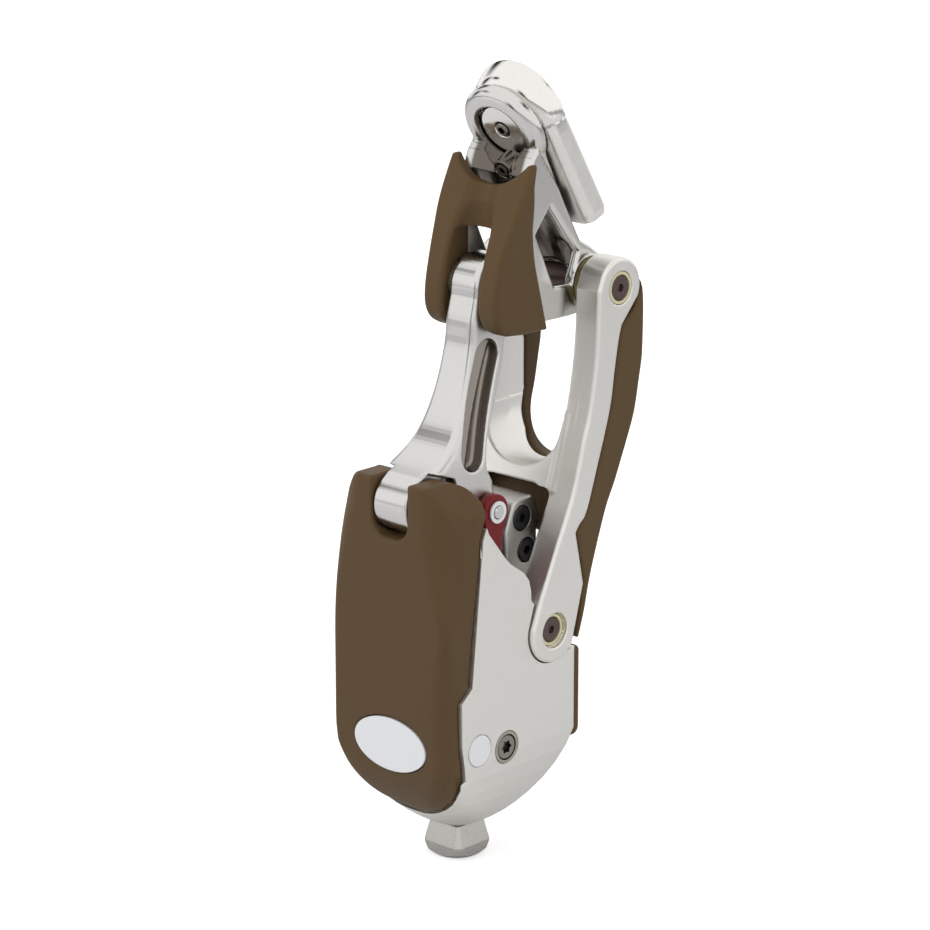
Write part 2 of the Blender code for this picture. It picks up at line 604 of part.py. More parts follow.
barrel = [(0, -9.0), (5.0, -9.0), (CYLINDER_RADIUS, -5.0), (CYLINDER_RADIUS, CYLINDER_LENGTH),
          (ROD_RADIUS + 0.4, CYLINDER_LENGTH), (ROD_RADIUS + 0.4, 11.0), (0, 11.0)]
cylinder = turned("cylinder", barrel, on_unit(0), DRAW, STEEL, parent=cylinder_axis)
cut(cylinder, bore(TRUNNION, AXLE_RADIUS, -20, 20, 24))
gland = [(ROD_RADIUS + 0.3, 58.3), (7.4, 58.3), (7.4, 63.0), (6.4, 64.0), (ROD_RADIUS + 0.3, 64.0)]
turned("gland_nut", gland, on_unit(0), DRAW, BLACK, parent=cylinder_axis)
rod_profile = [(0, 29.0), (ROD_RADIUS - 0.6, 29.0), (ROD_RADIUS, 30.0), (ROD_RADIUS, reach.length - 6),
               (0, reach.length - 6)]
rod = turned("piston_rod", rod_profile, on_unit(0), DRAW, CHROME, 24, rod_axis)
join(rod, bore(STRAP_PIVOT, ROD_EYE_RADIUS, -4.5, 4.5))
cut(rod, bore(STRAP_PIVOT, 5.1, -20, 20, 24))

# Rear yoke: two curved arms, joined by a web below a round throat.
arm_front = [(46.6, 231.3), (45.3, 225.8), (45.1, 217.2), (44.7, 207.6), (43.9, 198.1), (42.3, 187.7),
             (40.0, 176.5),
             (37.3, 168.6), (31.2, 148.1), (22.0, 128.5), (12.8, 108.8)]
arm_rear = [(38.1, 110.1), (33.4, 131.7), (39.8, 139.0), (45.9, 155.9), (53.0, 177.5), (55.7, 193.1),
            (57.9, 204.8),
            (59.6, 210.5), (66.7, 216.1)]
arm = arc(UPPER_REAR, ARM_HEAD_RADIUS, -25, 150, 14) + arm_front[1:]
arm += arc(LOWER_REAR, ARM_FOOT_RADIUS, 170, 325, 14) + arm_rear[:-1]
tray = [(31.6, 147.2), (33.0, 151.0), (38.5, 170.0), (42.5, 186.0), (45.0, 200.0), (46.0, 207.0),
        (57.5, 207.0),
        (62.0, 196.0), (62.0, 176.0), (58.0, 160.0), (47.0, 147.2)]
web = tray[:3] + [(40.0, 176.0), (62.0, 176.0)] + tray[-2:]
rear_yoke = plate("rear_yoke", arm, ARM_INNER, ARM_OUTER, ALUMINIUM, parent=yoke_axis)
join(rear_yoke, plate("arm_left", arm, -ARM_OUTER, -ARM_INNER))
bridge = plate("bridge", web, -22.0, 22.0)
cut(bridge, plate("throat", circle((0, THROAT_CENTRE), THROAT_RADIUS, 48), -60, 120, axis="Y"))
join(rear_yoke, bridge)
for side in (-1, 1):
    low, high = sorted((side * ARM_INNER, side * 26.6))
    join(rear_yoke, plate(f"tray_{side}", tray, low, high))
    low, high = sorted((side * 31.2, side * 40.0))
    cut(rear_yoke, bore(LOWER_REAR, 7.1, low, high))
window = rounded([(-16.5, 120.0, 0), (16.5, 120.0, 0), (16.5, 147.5, 6.0), (-16.5, 147.5, 6.0)])
cut(rear_yoke, plate("yoke_window", window, 0, 80, axis="Y"))
cut(rear_yoke, bore(LOWER_REAR, RING_RADIUS + GAP, -35, 35), bore(UPPER_REAR, RING_RADIUS + GAP, -35, 35))

cover_back = [(71.3, 227.0), (72.7, 217.0), (72.6, 207.0), (72.3, 196.0), (70.7, 187.0), (68.1, 174.5),
              (64.6, 165.4),
              (60.6, 156.4), (56.5, 147.4), (51.8, 138.6), (46.7, 125.0), (42.1, 111.0), (39.2, 99.0), (35.8,
                                                                                                        88.4)]
cover_inside = [(34.5, 87.4), (38.5, 110.2), (33.9, 131.7), (40.2, 138.8), (46.4, 155.8), (53.5, 177.5),
                (56.2, 193.1),
                (58.4, 204.7), (60.1, 210.2), (67.2, 215.8), (70.6, 222.9)]
yoke_cover = plate("yoke_cover", cover_back + cover_inside, -YOKE_COVER_HALF, YOKE_COVER_HALF, BROWN,
                   parent=yoke_axis)
tray_space = [(31.6, 146.8), (31.6, 210.0), (57.9, 207.6), (62.3, 196.1), (62.3, 175.9), (58.2, 159.7),
              (47.3, 146.8)]
cut(yoke_cover, plate("tray_space", tray_space, -26.9, 26.9))
mouth = [(-20.5, 240.0), (-20.5, THROAT_CENTRE)] + arc((0, THROAT_CENTRE), THROAT_RADIUS, 180, 360, 24)[1:]
mouth += [(20.5, 240.0)]
cut(yoke_cover, plate("cover_mouth", mouth, 0, 120, axis="Y"))
lower_mouth = rounded([(-17.0, 60.0, 0), (17.0, 60.0, 0), (17.0, 128.0, 8.0), (-17.0, 128.0, 8.0)])
cut(yoke_cover, plate("cover_lower_mouth", lower_mouth, 0, 120, axis="Y"))

for word, centre, end, inner in (("upper", UPPER_REAR, 32.9, 20.7), ("lower", LOWER_REAR, 31.0, 20.7)):
    axle = pin(f"{word}_rear_axle", centre, AXLE_RADIUS, -end, end, AXLE_MAUVE, 0.4, 28, yoke_axis)
    for side, hand in ((-1, "left"), (1, "right")):
        low, high = sorted((side * (end - 1.5), side * 40.0))
        cut(axle, bore(centre, 1.8, low, high, 6))
        low, high = sorted((side * inner, side * end))
        ring(f"{word}_ring_{hand}", centre, AXLE_RADIUS + GAP, RING_RADIUS, low, high, BUSH_YELLOW,
             parent=yoke_axis)
ring("block_bush", LOWER_REAR, AXLE_RADIUS + GAP, RING_RADIUS, -20.0, 20.0, BUSH_YELLOW)

# Head: two cheeks under a clamp eye, with a window through both and a cross wall.
head_rear = [(27.5, 283.0), (30.8, 277.0), (40.1, 264.6), (48.4, 249.6), (52.0, 243.5), (58.0, 240.0)]
tail = arc(UPPER_REAR, 11.8, 55, -60, 9)
head_front = [(46.4, 213.8), (18.0, 214.4), (8.2, 217.2), (4.2, 222.0), (4.4, 231.5), (8.4, 243.0),
              (13.8, 254.5),
              (20.2, 268.5), (24.4, 279.0)]
head_side = head_rear + tail + head_front
head_frame = plate("head_frame", head_side, -HEAD_HALF, HEAD_HALF, POLISHED, parent=head_axis)
inside = [(-10.0, 200.0), (80.0, 200.0), (80.0, 243.0), (47.0, 243.0), (40.0, 245.5), (36.0, 245.5),
          (31.0, 252.0),
          (24.0, 262.0), (12.0, 262.0), (-10.0, 250.0)]
cut(head_frame, plate("head_inside", inside, -HEAD_INNER, HEAD_INNER))
join(head_frame, bore(UPPER_REAR, 6.9, -13.5, 13.5), bore(UPPER_REAR, 11.0, -17.7, -13.2),
     bore(UPPER_REAR, 11.0, 13.2, 17.7))
gap_window = rounded([(34.6, 258.6, 4.0), (26.8, 249.0, 3.0), (37.2, 227.6, 3.0), (46.6, 226.8, 3.5),
                      (50.6, 238.6, 3.5)])
cut(head_frame, plate("head_window", gap_window, -40, 40))
bell = [(EYE_BORE, -EYE_DEPTH), (EYE_NOSE_RADIUS, -EYE_DEPTH), (16.8, -5.2), (18.0, -3.6), (EYE_RADIUS, -1.2),
        (EYE_RADIUS, -GAP), (EYE_BORE, -GAP)]
N = (0.0, math.cos(EYE_TILT), math.sin(EYE_TILT))
eye = turned("eye", bell, (0, *EYE_CENTRE), N, steps=40)
neck = [head_point(n, u) for n, u in ((-5.7, 12.0), (-0.6, 12.0), (-0.9, 20.0), (-1.0, 26.0), (-9.0, 24.0),
                                      (-9.0, 16.0))]
join(head_frame, plate("neck", neck, -16.0, 16.0), eye)
cut(head_frame, bore(UPPER_REAR, AXLE_RADIUS + GAP, -30, 30))
SCREW_FRONT = (21.2, 273.2)
SCREW_X = 4.0


def clamp_profile(radius, length, start=0.0):
    return [(0, start), (radius, start), (radius, length), (0, length)]


def along_clamp(name, profile, mat=None, parent=None, steps=24):
    return turned(name, profile, (SCREW_X, *SCREW_FRONT), N, mat, steps, parent)


cut(head_frame, along_clamp("screw_bore", clamp_profile(3.1, 9.0, -20.0)))
clamp_screw = along_clamp("clamp_screw", clamp_profile(2.75, 8.6), DARK_STEEL, head_axis)
cut(clamp_screw, along_clamp("screw_socket", clamp_profile(1.5, 3.0, -5.0), steps=6))
for side, word in ((-1, "left"), (1, "right")):
    low, high = sorted((side * 18.0, side * 20.2))
    ring(f"boss_bush_{word}", UPPER_REAR, AXLE_RADIUS + GAP, 10.5, low, high, OLIVE, parent=head_axis)

# Head cover: a hood over the front of the cheeks, split below by the link's notch.
hood = [(19.9, 277.5), (15.4, 268.5), (8.9, 254.0), (4.6, 243.0), (1.6, 230.5), (1.1, 221.0), (3.2, 215.8),
        (8.0, 212.4),
        (18.0, 211.3), (32.3, 211.0), (25.0, 238.0), (21.9, 253.0), (21.5, 268.8), (23.0, 277.6)]
head_cover = plate("head_cover", hood, -HEAD_COVER_HALF, HEAD_COVER_HALF, BROWN, parent=head_axis)
hood_front = [(HEAD_COVER_HALF, 290.0), (HEAD_COVER_HALF, 258.0), (HEAD_COVER_LOW_HALF, 245.0),
              (HEAD_COVER_LOW_HALF, 200.0)]
hood_front += [(-x, z) for x, z in reversed(hood_front)]
keep(head_cover, plate("hood_front", hood_front, -20, 60, axis="Y"))
cheek_space = [(y - 0.3, z) for y, z in head_front] + [(60.0, 285.0), (60.0, 213.5)]
for side in (-1, 1):
    low, high = sorted((side * (HEAD_INNER - GAP), side * (HEAD_HALF + GAP)))
    cut(head_cover, plate(f"cheek_space_{side}", cheek_space, low, high))
neck_space = [(19.9, 268.5), (24.1, 279.0), (60.0, 285.0), (60.0, 200.0), (16.8, 200.0), (16.8, 261.7)]
cut(head_cover, plate("neck_space", neck_space, -13.2, 13.2))
cut(head_cover, plate("spacer_space", capsule(UPPER_FRONT, 10.4, (36.0, 229.0), 10.41), -13.2, 13.2))
arch = [(-NOTCH_HALF, 200.0), (NOTCH_HALF, 200.0)] + arc((0, 253.3), NOTCH_HALF, 0, 180, 12)
cut(head_cover, plate("head_notch", arch, -20, 60, axis="Y"))
cut(head_cover, plate("top_scoop", circle((0, 290.5), 22.5, 48), -20, 60, axis="Y"))

# Lamination plate: a flared round end on the clamp eye and a bar running down behind the head.
def plate_ring(n, radius, half, foot):
    """Outline of the plate at a depth: a round top over a straight bar."""
    points = [(x, *head_point(n, u)) for x, u in arc((0, 0), radius, 180, 360, 20)]
    low = PLATE_LENGTH - foot
    right = [(half, low - 6.0), (half - 1.7, low - 1.7), (half - 6.0, low)]
    left = [(-x, u) for x, u in reversed(right)]
    return points + [(x, *head_point(n, u)) for x, u in right + left]


rows = ((GAP, 19.0, 21.6, 2.0), (1.6, 19.7, 23.8, 0.4), (3.5, 20.8, 24.8, 0.0), (7.0, 22.2, 25.2, 0.0),
        (PLATE_THICK - 1.2, 22.8, 25.2, 0.4), (PLATE_THICK, 22.0, 24.2, 1.4))
lamination_plate = loft("lamination_plate", [plate_ring(*row) for row in rows], ALUMINIUM, plate_axis)
stub = [(0, -4.0), (9.4, -4.0), (10.5, -3.0), (10.5, 3.0), (0, 3.0)]
join(lamination_plate, turned("stub", stub, (0, *EYE_CENTRE), N, steps=32))
cut(lamination_plate, turned("stub_bore", [(0, -9.0), (3.3, -9.0), (3.3, 4.0), (0, 4.0)], (0, *EYE_CENTRE),
                             N, steps=24))
retainer = turned("plate_screw", [(0, -4.6), (2.4, -4.6), (3.0, -4.0), (3.0, 3.7), (0, 3.7)],
                  (0, *EYE_CENTRE), N,
                  DARK_STEEL, 24, plate_axis)
cut(retainer, turned("plate_socket", [(0, -9.0), (1.6, -9.0), (1.6, -1.5), (0, -1.5)], (0, *EYE_CENTRE), N,
                     steps=6))
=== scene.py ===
"""Prosthetic hip joint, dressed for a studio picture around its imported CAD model."""
import math

import bpy
import numpy as np
from mathutils import Matrix, Vector


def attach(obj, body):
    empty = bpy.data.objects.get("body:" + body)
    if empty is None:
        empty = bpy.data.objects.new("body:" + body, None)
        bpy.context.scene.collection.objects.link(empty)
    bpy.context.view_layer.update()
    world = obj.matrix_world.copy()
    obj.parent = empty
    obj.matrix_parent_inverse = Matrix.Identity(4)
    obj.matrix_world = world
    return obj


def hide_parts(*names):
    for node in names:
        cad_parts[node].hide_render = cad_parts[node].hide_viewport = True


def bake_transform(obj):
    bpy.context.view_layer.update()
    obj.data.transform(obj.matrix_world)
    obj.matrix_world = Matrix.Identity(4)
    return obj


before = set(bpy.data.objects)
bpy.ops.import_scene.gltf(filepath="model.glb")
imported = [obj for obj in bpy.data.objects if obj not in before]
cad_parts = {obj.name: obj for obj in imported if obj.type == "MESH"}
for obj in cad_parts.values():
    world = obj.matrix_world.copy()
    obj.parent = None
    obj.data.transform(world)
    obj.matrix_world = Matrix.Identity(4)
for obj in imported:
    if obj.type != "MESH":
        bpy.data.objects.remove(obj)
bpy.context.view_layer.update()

# Camera: a long lens a little above the part, turned 43 degrees towards +X.
# It stands where the photograph was taken from.
AZIMUTH, ELEVATION = math.radians(43.0), math.radians(16.0)
back = Vector((math.sin(AZIMUTH) * math.cos(ELEVATION), -math.cos(AZIMUTH) * math.cos(ELEVATION),
               math.sin(ELEVATION)))
right = Vector((math.cos(AZIMUTH), math.sin(AZIMUTH), 0.0))
up = back.cross(right)
camera_data = bpy.data.cameras.new("camera")
camera_data.sensor_width = 36.0
camera_data.lens = 140.79
camera_data.clip_end = 20.0
camera = bpy.data.objects.new("camera", camera_data)
camera.matrix_world = Matrix((
    (right.x, up.x, back.x, 0.9273),
    (right.y, up.y, back.y, -0.9897),
    (right.z, up.z, back.z, 0.5487),
    (0, 0, 0, 1),
))
bpy.context.scene.collection.objects.link(camera)
bpy.context.scene.camera = camera
bpy.context.scene.view_settings.view_transform = "Standard"


# Studio lights: four soft boxes that no reflection shows, and a grey room that darkens downwards.
# The camera, polished metal and plastic see white paper in the room's place.
def softbox(name, place, size, power, target=(0.0, 0.02, 0.17)):
    data = bpy.data.lights.new(name, "AREA")
    data.shape = "RECTANGLE"
    data.size, data.size_y = size
    data.energy = power
    light = bpy.data.objects.new(name, data)
    light.location = place
    light.rotation_euler = (Vector(target) - Vector(place)).to_track_quat("-Z", "Y").to_euler()
    light.visible_glossy = False
    bpy.context.scene.collection.objects.link(light)


softbox("key_left", (-0.85, -1.15, 0.85), (1.1, 1.5), 12.5)
softbox("fill_right", (1.5, -0.1, 0.6), (0.9, 1.5), 7.5)
softbox("top", (0.1, 0.1, 1.5), (1.2, 1.2), 5.0)
softbox("rim_rear", (-0.5, 1.3, 0.7), (0.5, 1.2), 4.0)


# Flags: black cards with faded borders that only reflections show.
# They give the polished metal its dark streaks between the white ones.
def flag(name, place, size, shade, target=(0.0, 0.02, 0.17)):
    mesh = bpy.data.meshes.new(name)
    wide, high = size[0] / 2, size[1] / 2
    mesh.from_pydata([(-wide, -high, 0), (wide, -high, 0), (wide, high, 0), (-wide, high, 0)], [],
                     [(0, 1, 2, 3)])
    card = bpy.data.materials.new(name)
    card.use_nodes = True
    shader = card.node_tree.nodes["Principled BSDF"]
    shader.inputs["Base Color"].default_value = (shade, shade, shade, 1)
    shader.inputs["Roughness"].default_value = 1.0
    shader.inputs["Specular IOR Level"].default_value = 0.0
    place_on = card.node_tree.nodes.new("ShaderNodeTexCoord")
    fit = card.node_tree.nodes.new("ShaderNodeMapping")
    fit.inputs["Scale"].default_value = (1 / wide, 1 / high, 0)
    fade = card.node_tree.nodes.new("ShaderNodeTexGradient")
    fade.gradient_type = "QUADRATIC_SPHERE"
    solid = card.node_tree.nodes.new("ShaderNodeMath")
    solid.operation = "MULTIPLY"
    solid.use_clamp = True
    solid.inputs[1].default_value = 2.2
    clear = card.node_tree.nodes.new("ShaderNodeBsdfTransparent")
    blend = card.node_tree.nodes.new("ShaderNodeMixShader")
    end = card.node_tree.nodes["Material Output"]
    for a, b in ((place_on.outputs["Object"], fit.inputs["Vector"]),
                 (fit.outputs["Vector"], fade.inputs["Vector"]),
                 (fade.outputs["Fac"], solid.inputs[0]), (solid.outputs[0], blend.inputs["Fac"]),
                 (clear.outputs[0], blend.inputs[1]), (shader.outputs[0], blend.inputs[2]),
                 (blend.outputs[0], end.inputs["Surface"])):
        card.node_tree.links.new(a, b)
    mesh.materials.append(card)
    made = bpy.data.objects.new(name, mesh)
    made.location = place
    made.rotation_euler = (Vector(target) - Vector(place)).to_track_quat("Z", "Y").to_euler()
    made.visible_camera = made.visible_diffuse = made.visible_shadow = made.visible_transmission = False
    bpy.context.scene.collection.objects.link(made)


flag("flag_front", (0.15, -1.4, 0.25), (0.7, 1.3), 0.02)
flag("flag_left", (-1.45, -0.3, 0.6), (0.8, 1.4), 0.02)
flag("flag_left_rear", (-1.15, 0.5, 0.9), (1.1, 1.0), 0.02)
flag("flag_right_top", (0.8, 0.3, 1.2), (0.55, 0.8), 0.02)
flag("flag_left_top", (-1.05, -0.62, 1.0), (0.75, 0.6), 0.02)

world = bpy.data.worlds.new("studio")
world.use_nodes = True
bpy.context.scene.world = world
tree = world.node_tree
tree.nodes.clear()
room = tree.nodes.new("ShaderNodeBackground")
room.inputs["Strength"].default_value = 1.0
coords = tree.nodes.new("ShaderNodeTexCoord")
split = tree.nodes.new("ShaderNodeSeparateXYZ")
ramp = tree.nodes.new("ShaderNodeValToRGB")
ramp.color_ramp.elements[0].position = 0.30
ramp.color_ramp.elements[0].color = (0.10, 0.10, 0.105, 1)
ramp.color_ramp.elements[1].position = 0.72
ramp.color_ramp.elements[1].color = (0.42, 0.42, 0.43, 1)
half_up = tree.nodes.new("ShaderNodeMath")
half_up.operation = "MULTIPLY_ADD"
half_up.inputs[1].default_value = 0.5
half_up.inputs[2].default_value = 0.5
paper = tree.nodes.new("ShaderNodeBackground")
paper.inputs["Color"].default_value = (1, 1, 1, 1)
paths = tree.nodes.new("ShaderNodeLightPath")
seen_or_shiny = tree.nodes.new("ShaderNodeMath")
seen_or_shiny.operation = "MAXIMUM"
any_direct = tree.nodes.new("ShaderNodeMath")
any_direct.operation = "MAXIMUM"
mix = tree.nodes.new("ShaderNodeMixShader")
out = tree.nodes.new("ShaderNodeOutputWorld")
for a, b in ((coords.outputs["Generated"], split.inputs[0]), (split.outputs["Z"], half_up.inputs[0]),
             (half_up.outputs[0], ramp.inputs["Fac"]), (ramp.outputs["Color"], room.inputs["Color"]),
             (paths.outputs["Is Camera Ray"], seen_or_shiny.inputs[0]),
             (paths.outputs["Is Glossy Ray"], seen_or_shiny.inputs[1]),
             (seen_or_shiny.outputs[0], any_direct.inputs[0]),
             (paths.outputs["Is Transmission Ray"], any_direct.inputs[1]),
             (any_direct.outputs[0], mix.inputs["Fac"]), (room.outputs[0], mix.inputs[1]),
             (paper.outputs[0], mix.inputs[2]), (mix.outputs[0], out.inputs["Surface"])):
    tree.links.new(a, b)


# Floor: a wide sheet of white paper that the adapter's end face stands on.
# Its own glow rises with distance to the background's white, and near the part it keeps a soft shadow.
FLOOR_HALF = 6.0
FLOOR_DROP = 0.0004
floor_mesh = bpy.data.meshes.new("paper_floor")
floor_mesh.from_pydata([(-FLOOR_HALF, -FLOOR_HALF, -FLOOR_DROP), (FLOOR_HALF, -FLOOR_HALF, -FLOOR_DROP),
                        (FLOOR_HALF, FLOOR_HALF, -FLOOR_DROP), (-FLOOR_HALF, FLOOR_HALF, -FLOOR_DROP)], [],
                       [(0, 1, 2, 3)])
floor = bpy.data.objects.new("paper_floor", floor_mesh)
bpy.context.scene.collection.objects.link(floor)
paper_finish = bpy.data.materials.new("white_paper")
paper_finish.use_nodes = True
paper_tree = paper_finish.node_tree
paper_shader = paper_tree.nodes["Principled BSDF"]
paper_shader.inputs["Base Color"].default_value = (0.78, 0.78, 0.78, 1)
paper_shader.inputs["Roughness"].default_value = 0.9
paper_shader.inputs["Specular IOR Level"].default_value = 0.0
paper_shader.inputs["Emission Color"].default_value = (1, 1, 1, 1)
where = paper_tree.nodes.new("ShaderNodeTexCoord")
far = paper_tree.nodes.new("ShaderNodeVectorMath")
far.operation = "LENGTH"
level = paper_tree.nodes.new("ShaderNodeMapRange")
level.inputs["From Min"].default_value = 0.3
level.inputs["From Max"].default_value = 3.0
level.inputs["To Min"].default_value = 0.55
level.inputs["To Max"].default_value = 1.0
paper_tree.links.new(where.outputs["Object"], far.inputs[0])
paper_tree.links.new(far.outputs["Value"], level.inputs["Value"])
seen = paper_tree.nodes.new("ShaderNodeLightPath")
glow = paper_tree.nodes.new("ShaderNodeMath")
glow.operation = "MULTIPLY"
paper_tree.links.new(level.outputs["Result"], glow.inputs[1])
paper_tree.links.new(seen.outputs["Is Camera Ray"], glow.inputs[0])
paper_tree.links.new(glow.outputs[0], paper_shader.inputs["Emission Strength"])
floor_mesh.materials.append(paper_finish)


# Housing and its dome cap: machined aluminium, blasted to a fine silk and anodised clear.
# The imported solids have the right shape, so they keep it and take the satin finish.
def finish(name, color, roughness, metallic, grain=(900, 900, 900), depth=0.0, mottle=0.0, coat=0.0,
           spread=0.05,
           edge=0.0, shine=None, specular=0.5, painted_shade_distance=0.0, painted_shade_color=None):
    """Principled finish with grain from object coordinates: noise tints the colour, shifts the roughness and
    lifts the surface. An edge radius rounds sharp edges in the shading, shine names the roughness that a
    mesh attribute of that name blends in, a shade distance paints shade into recesses narrower than that
    distance by darkening the colour, and a shade colour is the painted shade that a mesh attribute named deep
    blends in."""
    made = bpy.data.materials.new(name)
    made.use_nodes = True
    nodes, links = made.node_tree.nodes, made.node_tree.links
    shader = nodes["Principled BSDF"]
    shader.inputs["Metallic"].default_value = metallic
    shader.inputs["Coat Weight"].default_value = coat
    shader.inputs["Specular IOR Level"].default_value = specular
    place = nodes.new("ShaderNodeTexCoord")
    stretch = nodes.new("ShaderNodeMapping")
    stretch.inputs["Scale"].default_value = grain
    speck = nodes.new("ShaderNodeTexNoise")
    speck.inputs["Scale"].default_value = 1.0
    speck.inputs["Detail"].default_value = 3.0
    links.new(place.outputs["Object"], stretch.inputs["Vector"])
    links.new(stretch.outputs["Vector"], speck.inputs["Vector"])
    tint = nodes.new("ShaderNodeMix")
    tint.data_type = "RGBA"
    tint.inputs[6].default_value = (*[c * (1 - mottle) for c in color], 1)
    tint.inputs[7].default_value = (*[min(1, c * (1 + mottle)) for c in color], 1)
    links.new(speck.outputs["Fac"], tint.inputs[0])
    links.new(tint.outputs[2], shader.inputs["Base Color"])
    # Painted shade: where the mesh attribute deep is one, the colour is replaced by the given shade colour.
    if painted_shade_color is not None:
        painted_shade_mark = nodes.new("ShaderNodeAttribute")
        painted_shade_mark.attribute_name = "deep"
        shaded = nodes.new("ShaderNodeMix")
        shaded.data_type = "RGBA"
        shaded.inputs[7].default_value = (*painted_shade_color, 1)
        links.new(painted_shade_mark.outputs["Fac"], shaded.inputs[0])
        links.new(tint.outputs[2], shaded.inputs[6])
        links.new(shaded.outputs[2], shader.inputs["Base Color"])
    # Painted shade: ambient occlusion darkens the colour in recesses narrower than the given distance.
    if painted_shade_distance:
        shade = nodes.new("ShaderNodeAmbientOcclusion")
        shade.samples = 8
        shade.inputs["Distance"].default_value = painted_shade_distance
        deep = nodes.new("ShaderNodeMath")
        deep.operation = "POWER"
        deep.inputs[1].default_value = 2.6
        dark = nodes.new("ShaderNodeMix")
        dark.data_type = "RGBA"
        dark.inputs[6].default_value = (*[c * 0.12 for c in color], 1)
        links.new(shade.outputs["AO"], deep.inputs[0])
        links.new(deep.outputs[0], dark.inputs[0])
        links.new(tint.outputs[2], dark.inputs[7])
        links.new(dark.outputs[2], shader.inputs["Base Color"])
    rough = nodes.new("ShaderNodeMapRange")
    rough.inputs["From Min"].default_value = 0.3
    rough.inputs["From Max"].default_value = 0.7
    rough.inputs["To Min"].default_value = max(0.02, roughness - spread)
    rough.inputs["To Max"].default_value = roughness + spread
    links.new(speck.outputs["Fac"], rough.inputs["Value"])
    level = rough.outputs["Result"]
    if shine is not None:
        worn = nodes.new("ShaderNodeAttribute")
        worn.attribute_name = "shine"
        blend = nodes.new("ShaderNodeMix")
        links.new(worn.outputs["Fac"], blend.inputs[0])
        links.new(level, blend.inputs[2])
        blend.inputs[3].default_value = shine
        level = blend.outputs[0]
    links.new(level, shader.inputs["Roughness"])
    normal = None
    if edge:
        soft = nodes.new("ShaderNodeBevel")
        soft.samples = 6
        soft.inputs["Radius"].default_value = edge
        normal = soft.outputs["Normal"]
    if depth:
        bump = nodes.new("ShaderNodeBump")
        bump.inputs["Strength"].default_value = 0.35
        bump.inputs["Distance"].default_value = depth
        links.new(speck.outputs["Fac"], bump.inputs["Height"])
        if normal is not None:
            links.new(normal, bump.inputs["Normal"])
        normal = bump.outputs["Normal"]
    if normal is not None:
        links.new(normal, shader.inputs["Normal"])
    return made


def dress(look, *names):
    """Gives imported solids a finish, with smooth faces between edges of more than 35 degrees."""
    for node in (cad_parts[name] for name in names):
        node.data.materials.clear()
        node.data.materials.append(look)
        node.data.shade_smooth()
        node.data.set_sharp_from_angle(angle=math.radians(35))


SATIN_COLOR = (0.88, 0.86, 0.82)
SATIN_GRAIN = (2600, 2600, 160)
satin = finish("satin_aluminium", SATIN_COLOR, 0.46, 1.0, SATIN_GRAIN, 0.00001, 0.05, edge=0.0005)
dress(satin, "housing", "dome_cap")

# Front cover: an injection-moulded shell of brown polymer, clipped over the housing's front.
# Its flat face runs up into two round ears with the link's notch between them, and it stands
# proud of the housing on the -X side. An oval recess in its face takes the badge.
def both(a, b, r):
    """Rounded intersection of two distances: a quarter circle of radius r joins them."""
    return np.minimum(-r, np.maximum(a, b)) + np.hypot(np.maximum(a + r, 0), np.maximum(b + r, 0))


def either(a, b, r):
    """Rounded union of two distances."""
    return -both(-a, -b, r)


def without(a, b, r):
    """The first form with the second cut out of it and its edges rounded."""
    return both(a, -b, r)


def outline(a, b, points):
    """Signed distance to a polygon: the nearest of its sides, negative inside."""
    best, inside = np.inf, False
    for (p, q), (s, t) in zip(points, points[1:] + points[:1]):
        share = np.clip(((a - p) * (s - p) + (b - q) * (t - q)) / ((s - p) ** 2 + (t - q) ** 2), 0, 1)
        best = np.minimum(best, (a - p - share * (s - p)) ** 2 + (b - q - share * (t - q)) ** 2)
        if q != t:
            inside = inside ^ (((q > b) != (t > b)) & (a < p + (b - q) * (s - p) / (t - q)))
    return np.sqrt(best) * np.where(inside, -1.0, 1.0)


def arc(centre, radius, start, end, steps=16):
    """Points on a circle from one angle to another, in degrees."""
    turns = np.radians(np.linspace(start, end, steps + 1))
    return list(zip(centre[0] + radius * np.cos(turns), centre[1] + radius * np.sin(turns)))


def smoothed(points, cuts=4):
    """The points with more between them on a Catmull-Rom curve, the cubic through points 1 and 2 of each four
    whose slope at a point is half the step between its neighbours."""
    run = np.array([points[0]] + list(points) + [points[-1]])
    t = (np.arange(cuts) / cuts)[:, None]
    rows = [b + t * (c - a) / 2 + t ** 2 * (a - 2.5 * b + 2 * c - d / 2) + t ** 3 * (1.5 * (b - c) + (d - a) / 2)
            for a, b, c, d in zip(run, run[1:], run[2:], run[3:])]
    return [tuple(p) for p in np.concatenate(rows + [run[-1:]])]


def capsule(a, b, first, first_radius, second, second_radius):
    """Distance to a tapered capsule between two circles."""
    run = (second[0] - first[0], second[1] - first[1])
    share = np.clip(((a - first[0]) * run[0] + (b - first[1]) * run[1]) / (run[0] ** 2 + run[1] ** 2), 0, 1)
    reach = np.hypot(a - first[0] - share * run[0], b - first[1] - share * run[1])
    return reach - first_radius - (second_radius - first_radius) * share


def slope_of(field, points, h=0.02):
    """Gradient of a distance at each point, by central differences."""
    return np.stack([field(*(points + h * e).T) - field(*(points - h * e).T) for e in np.eye(3)], 1) / (2 * h)


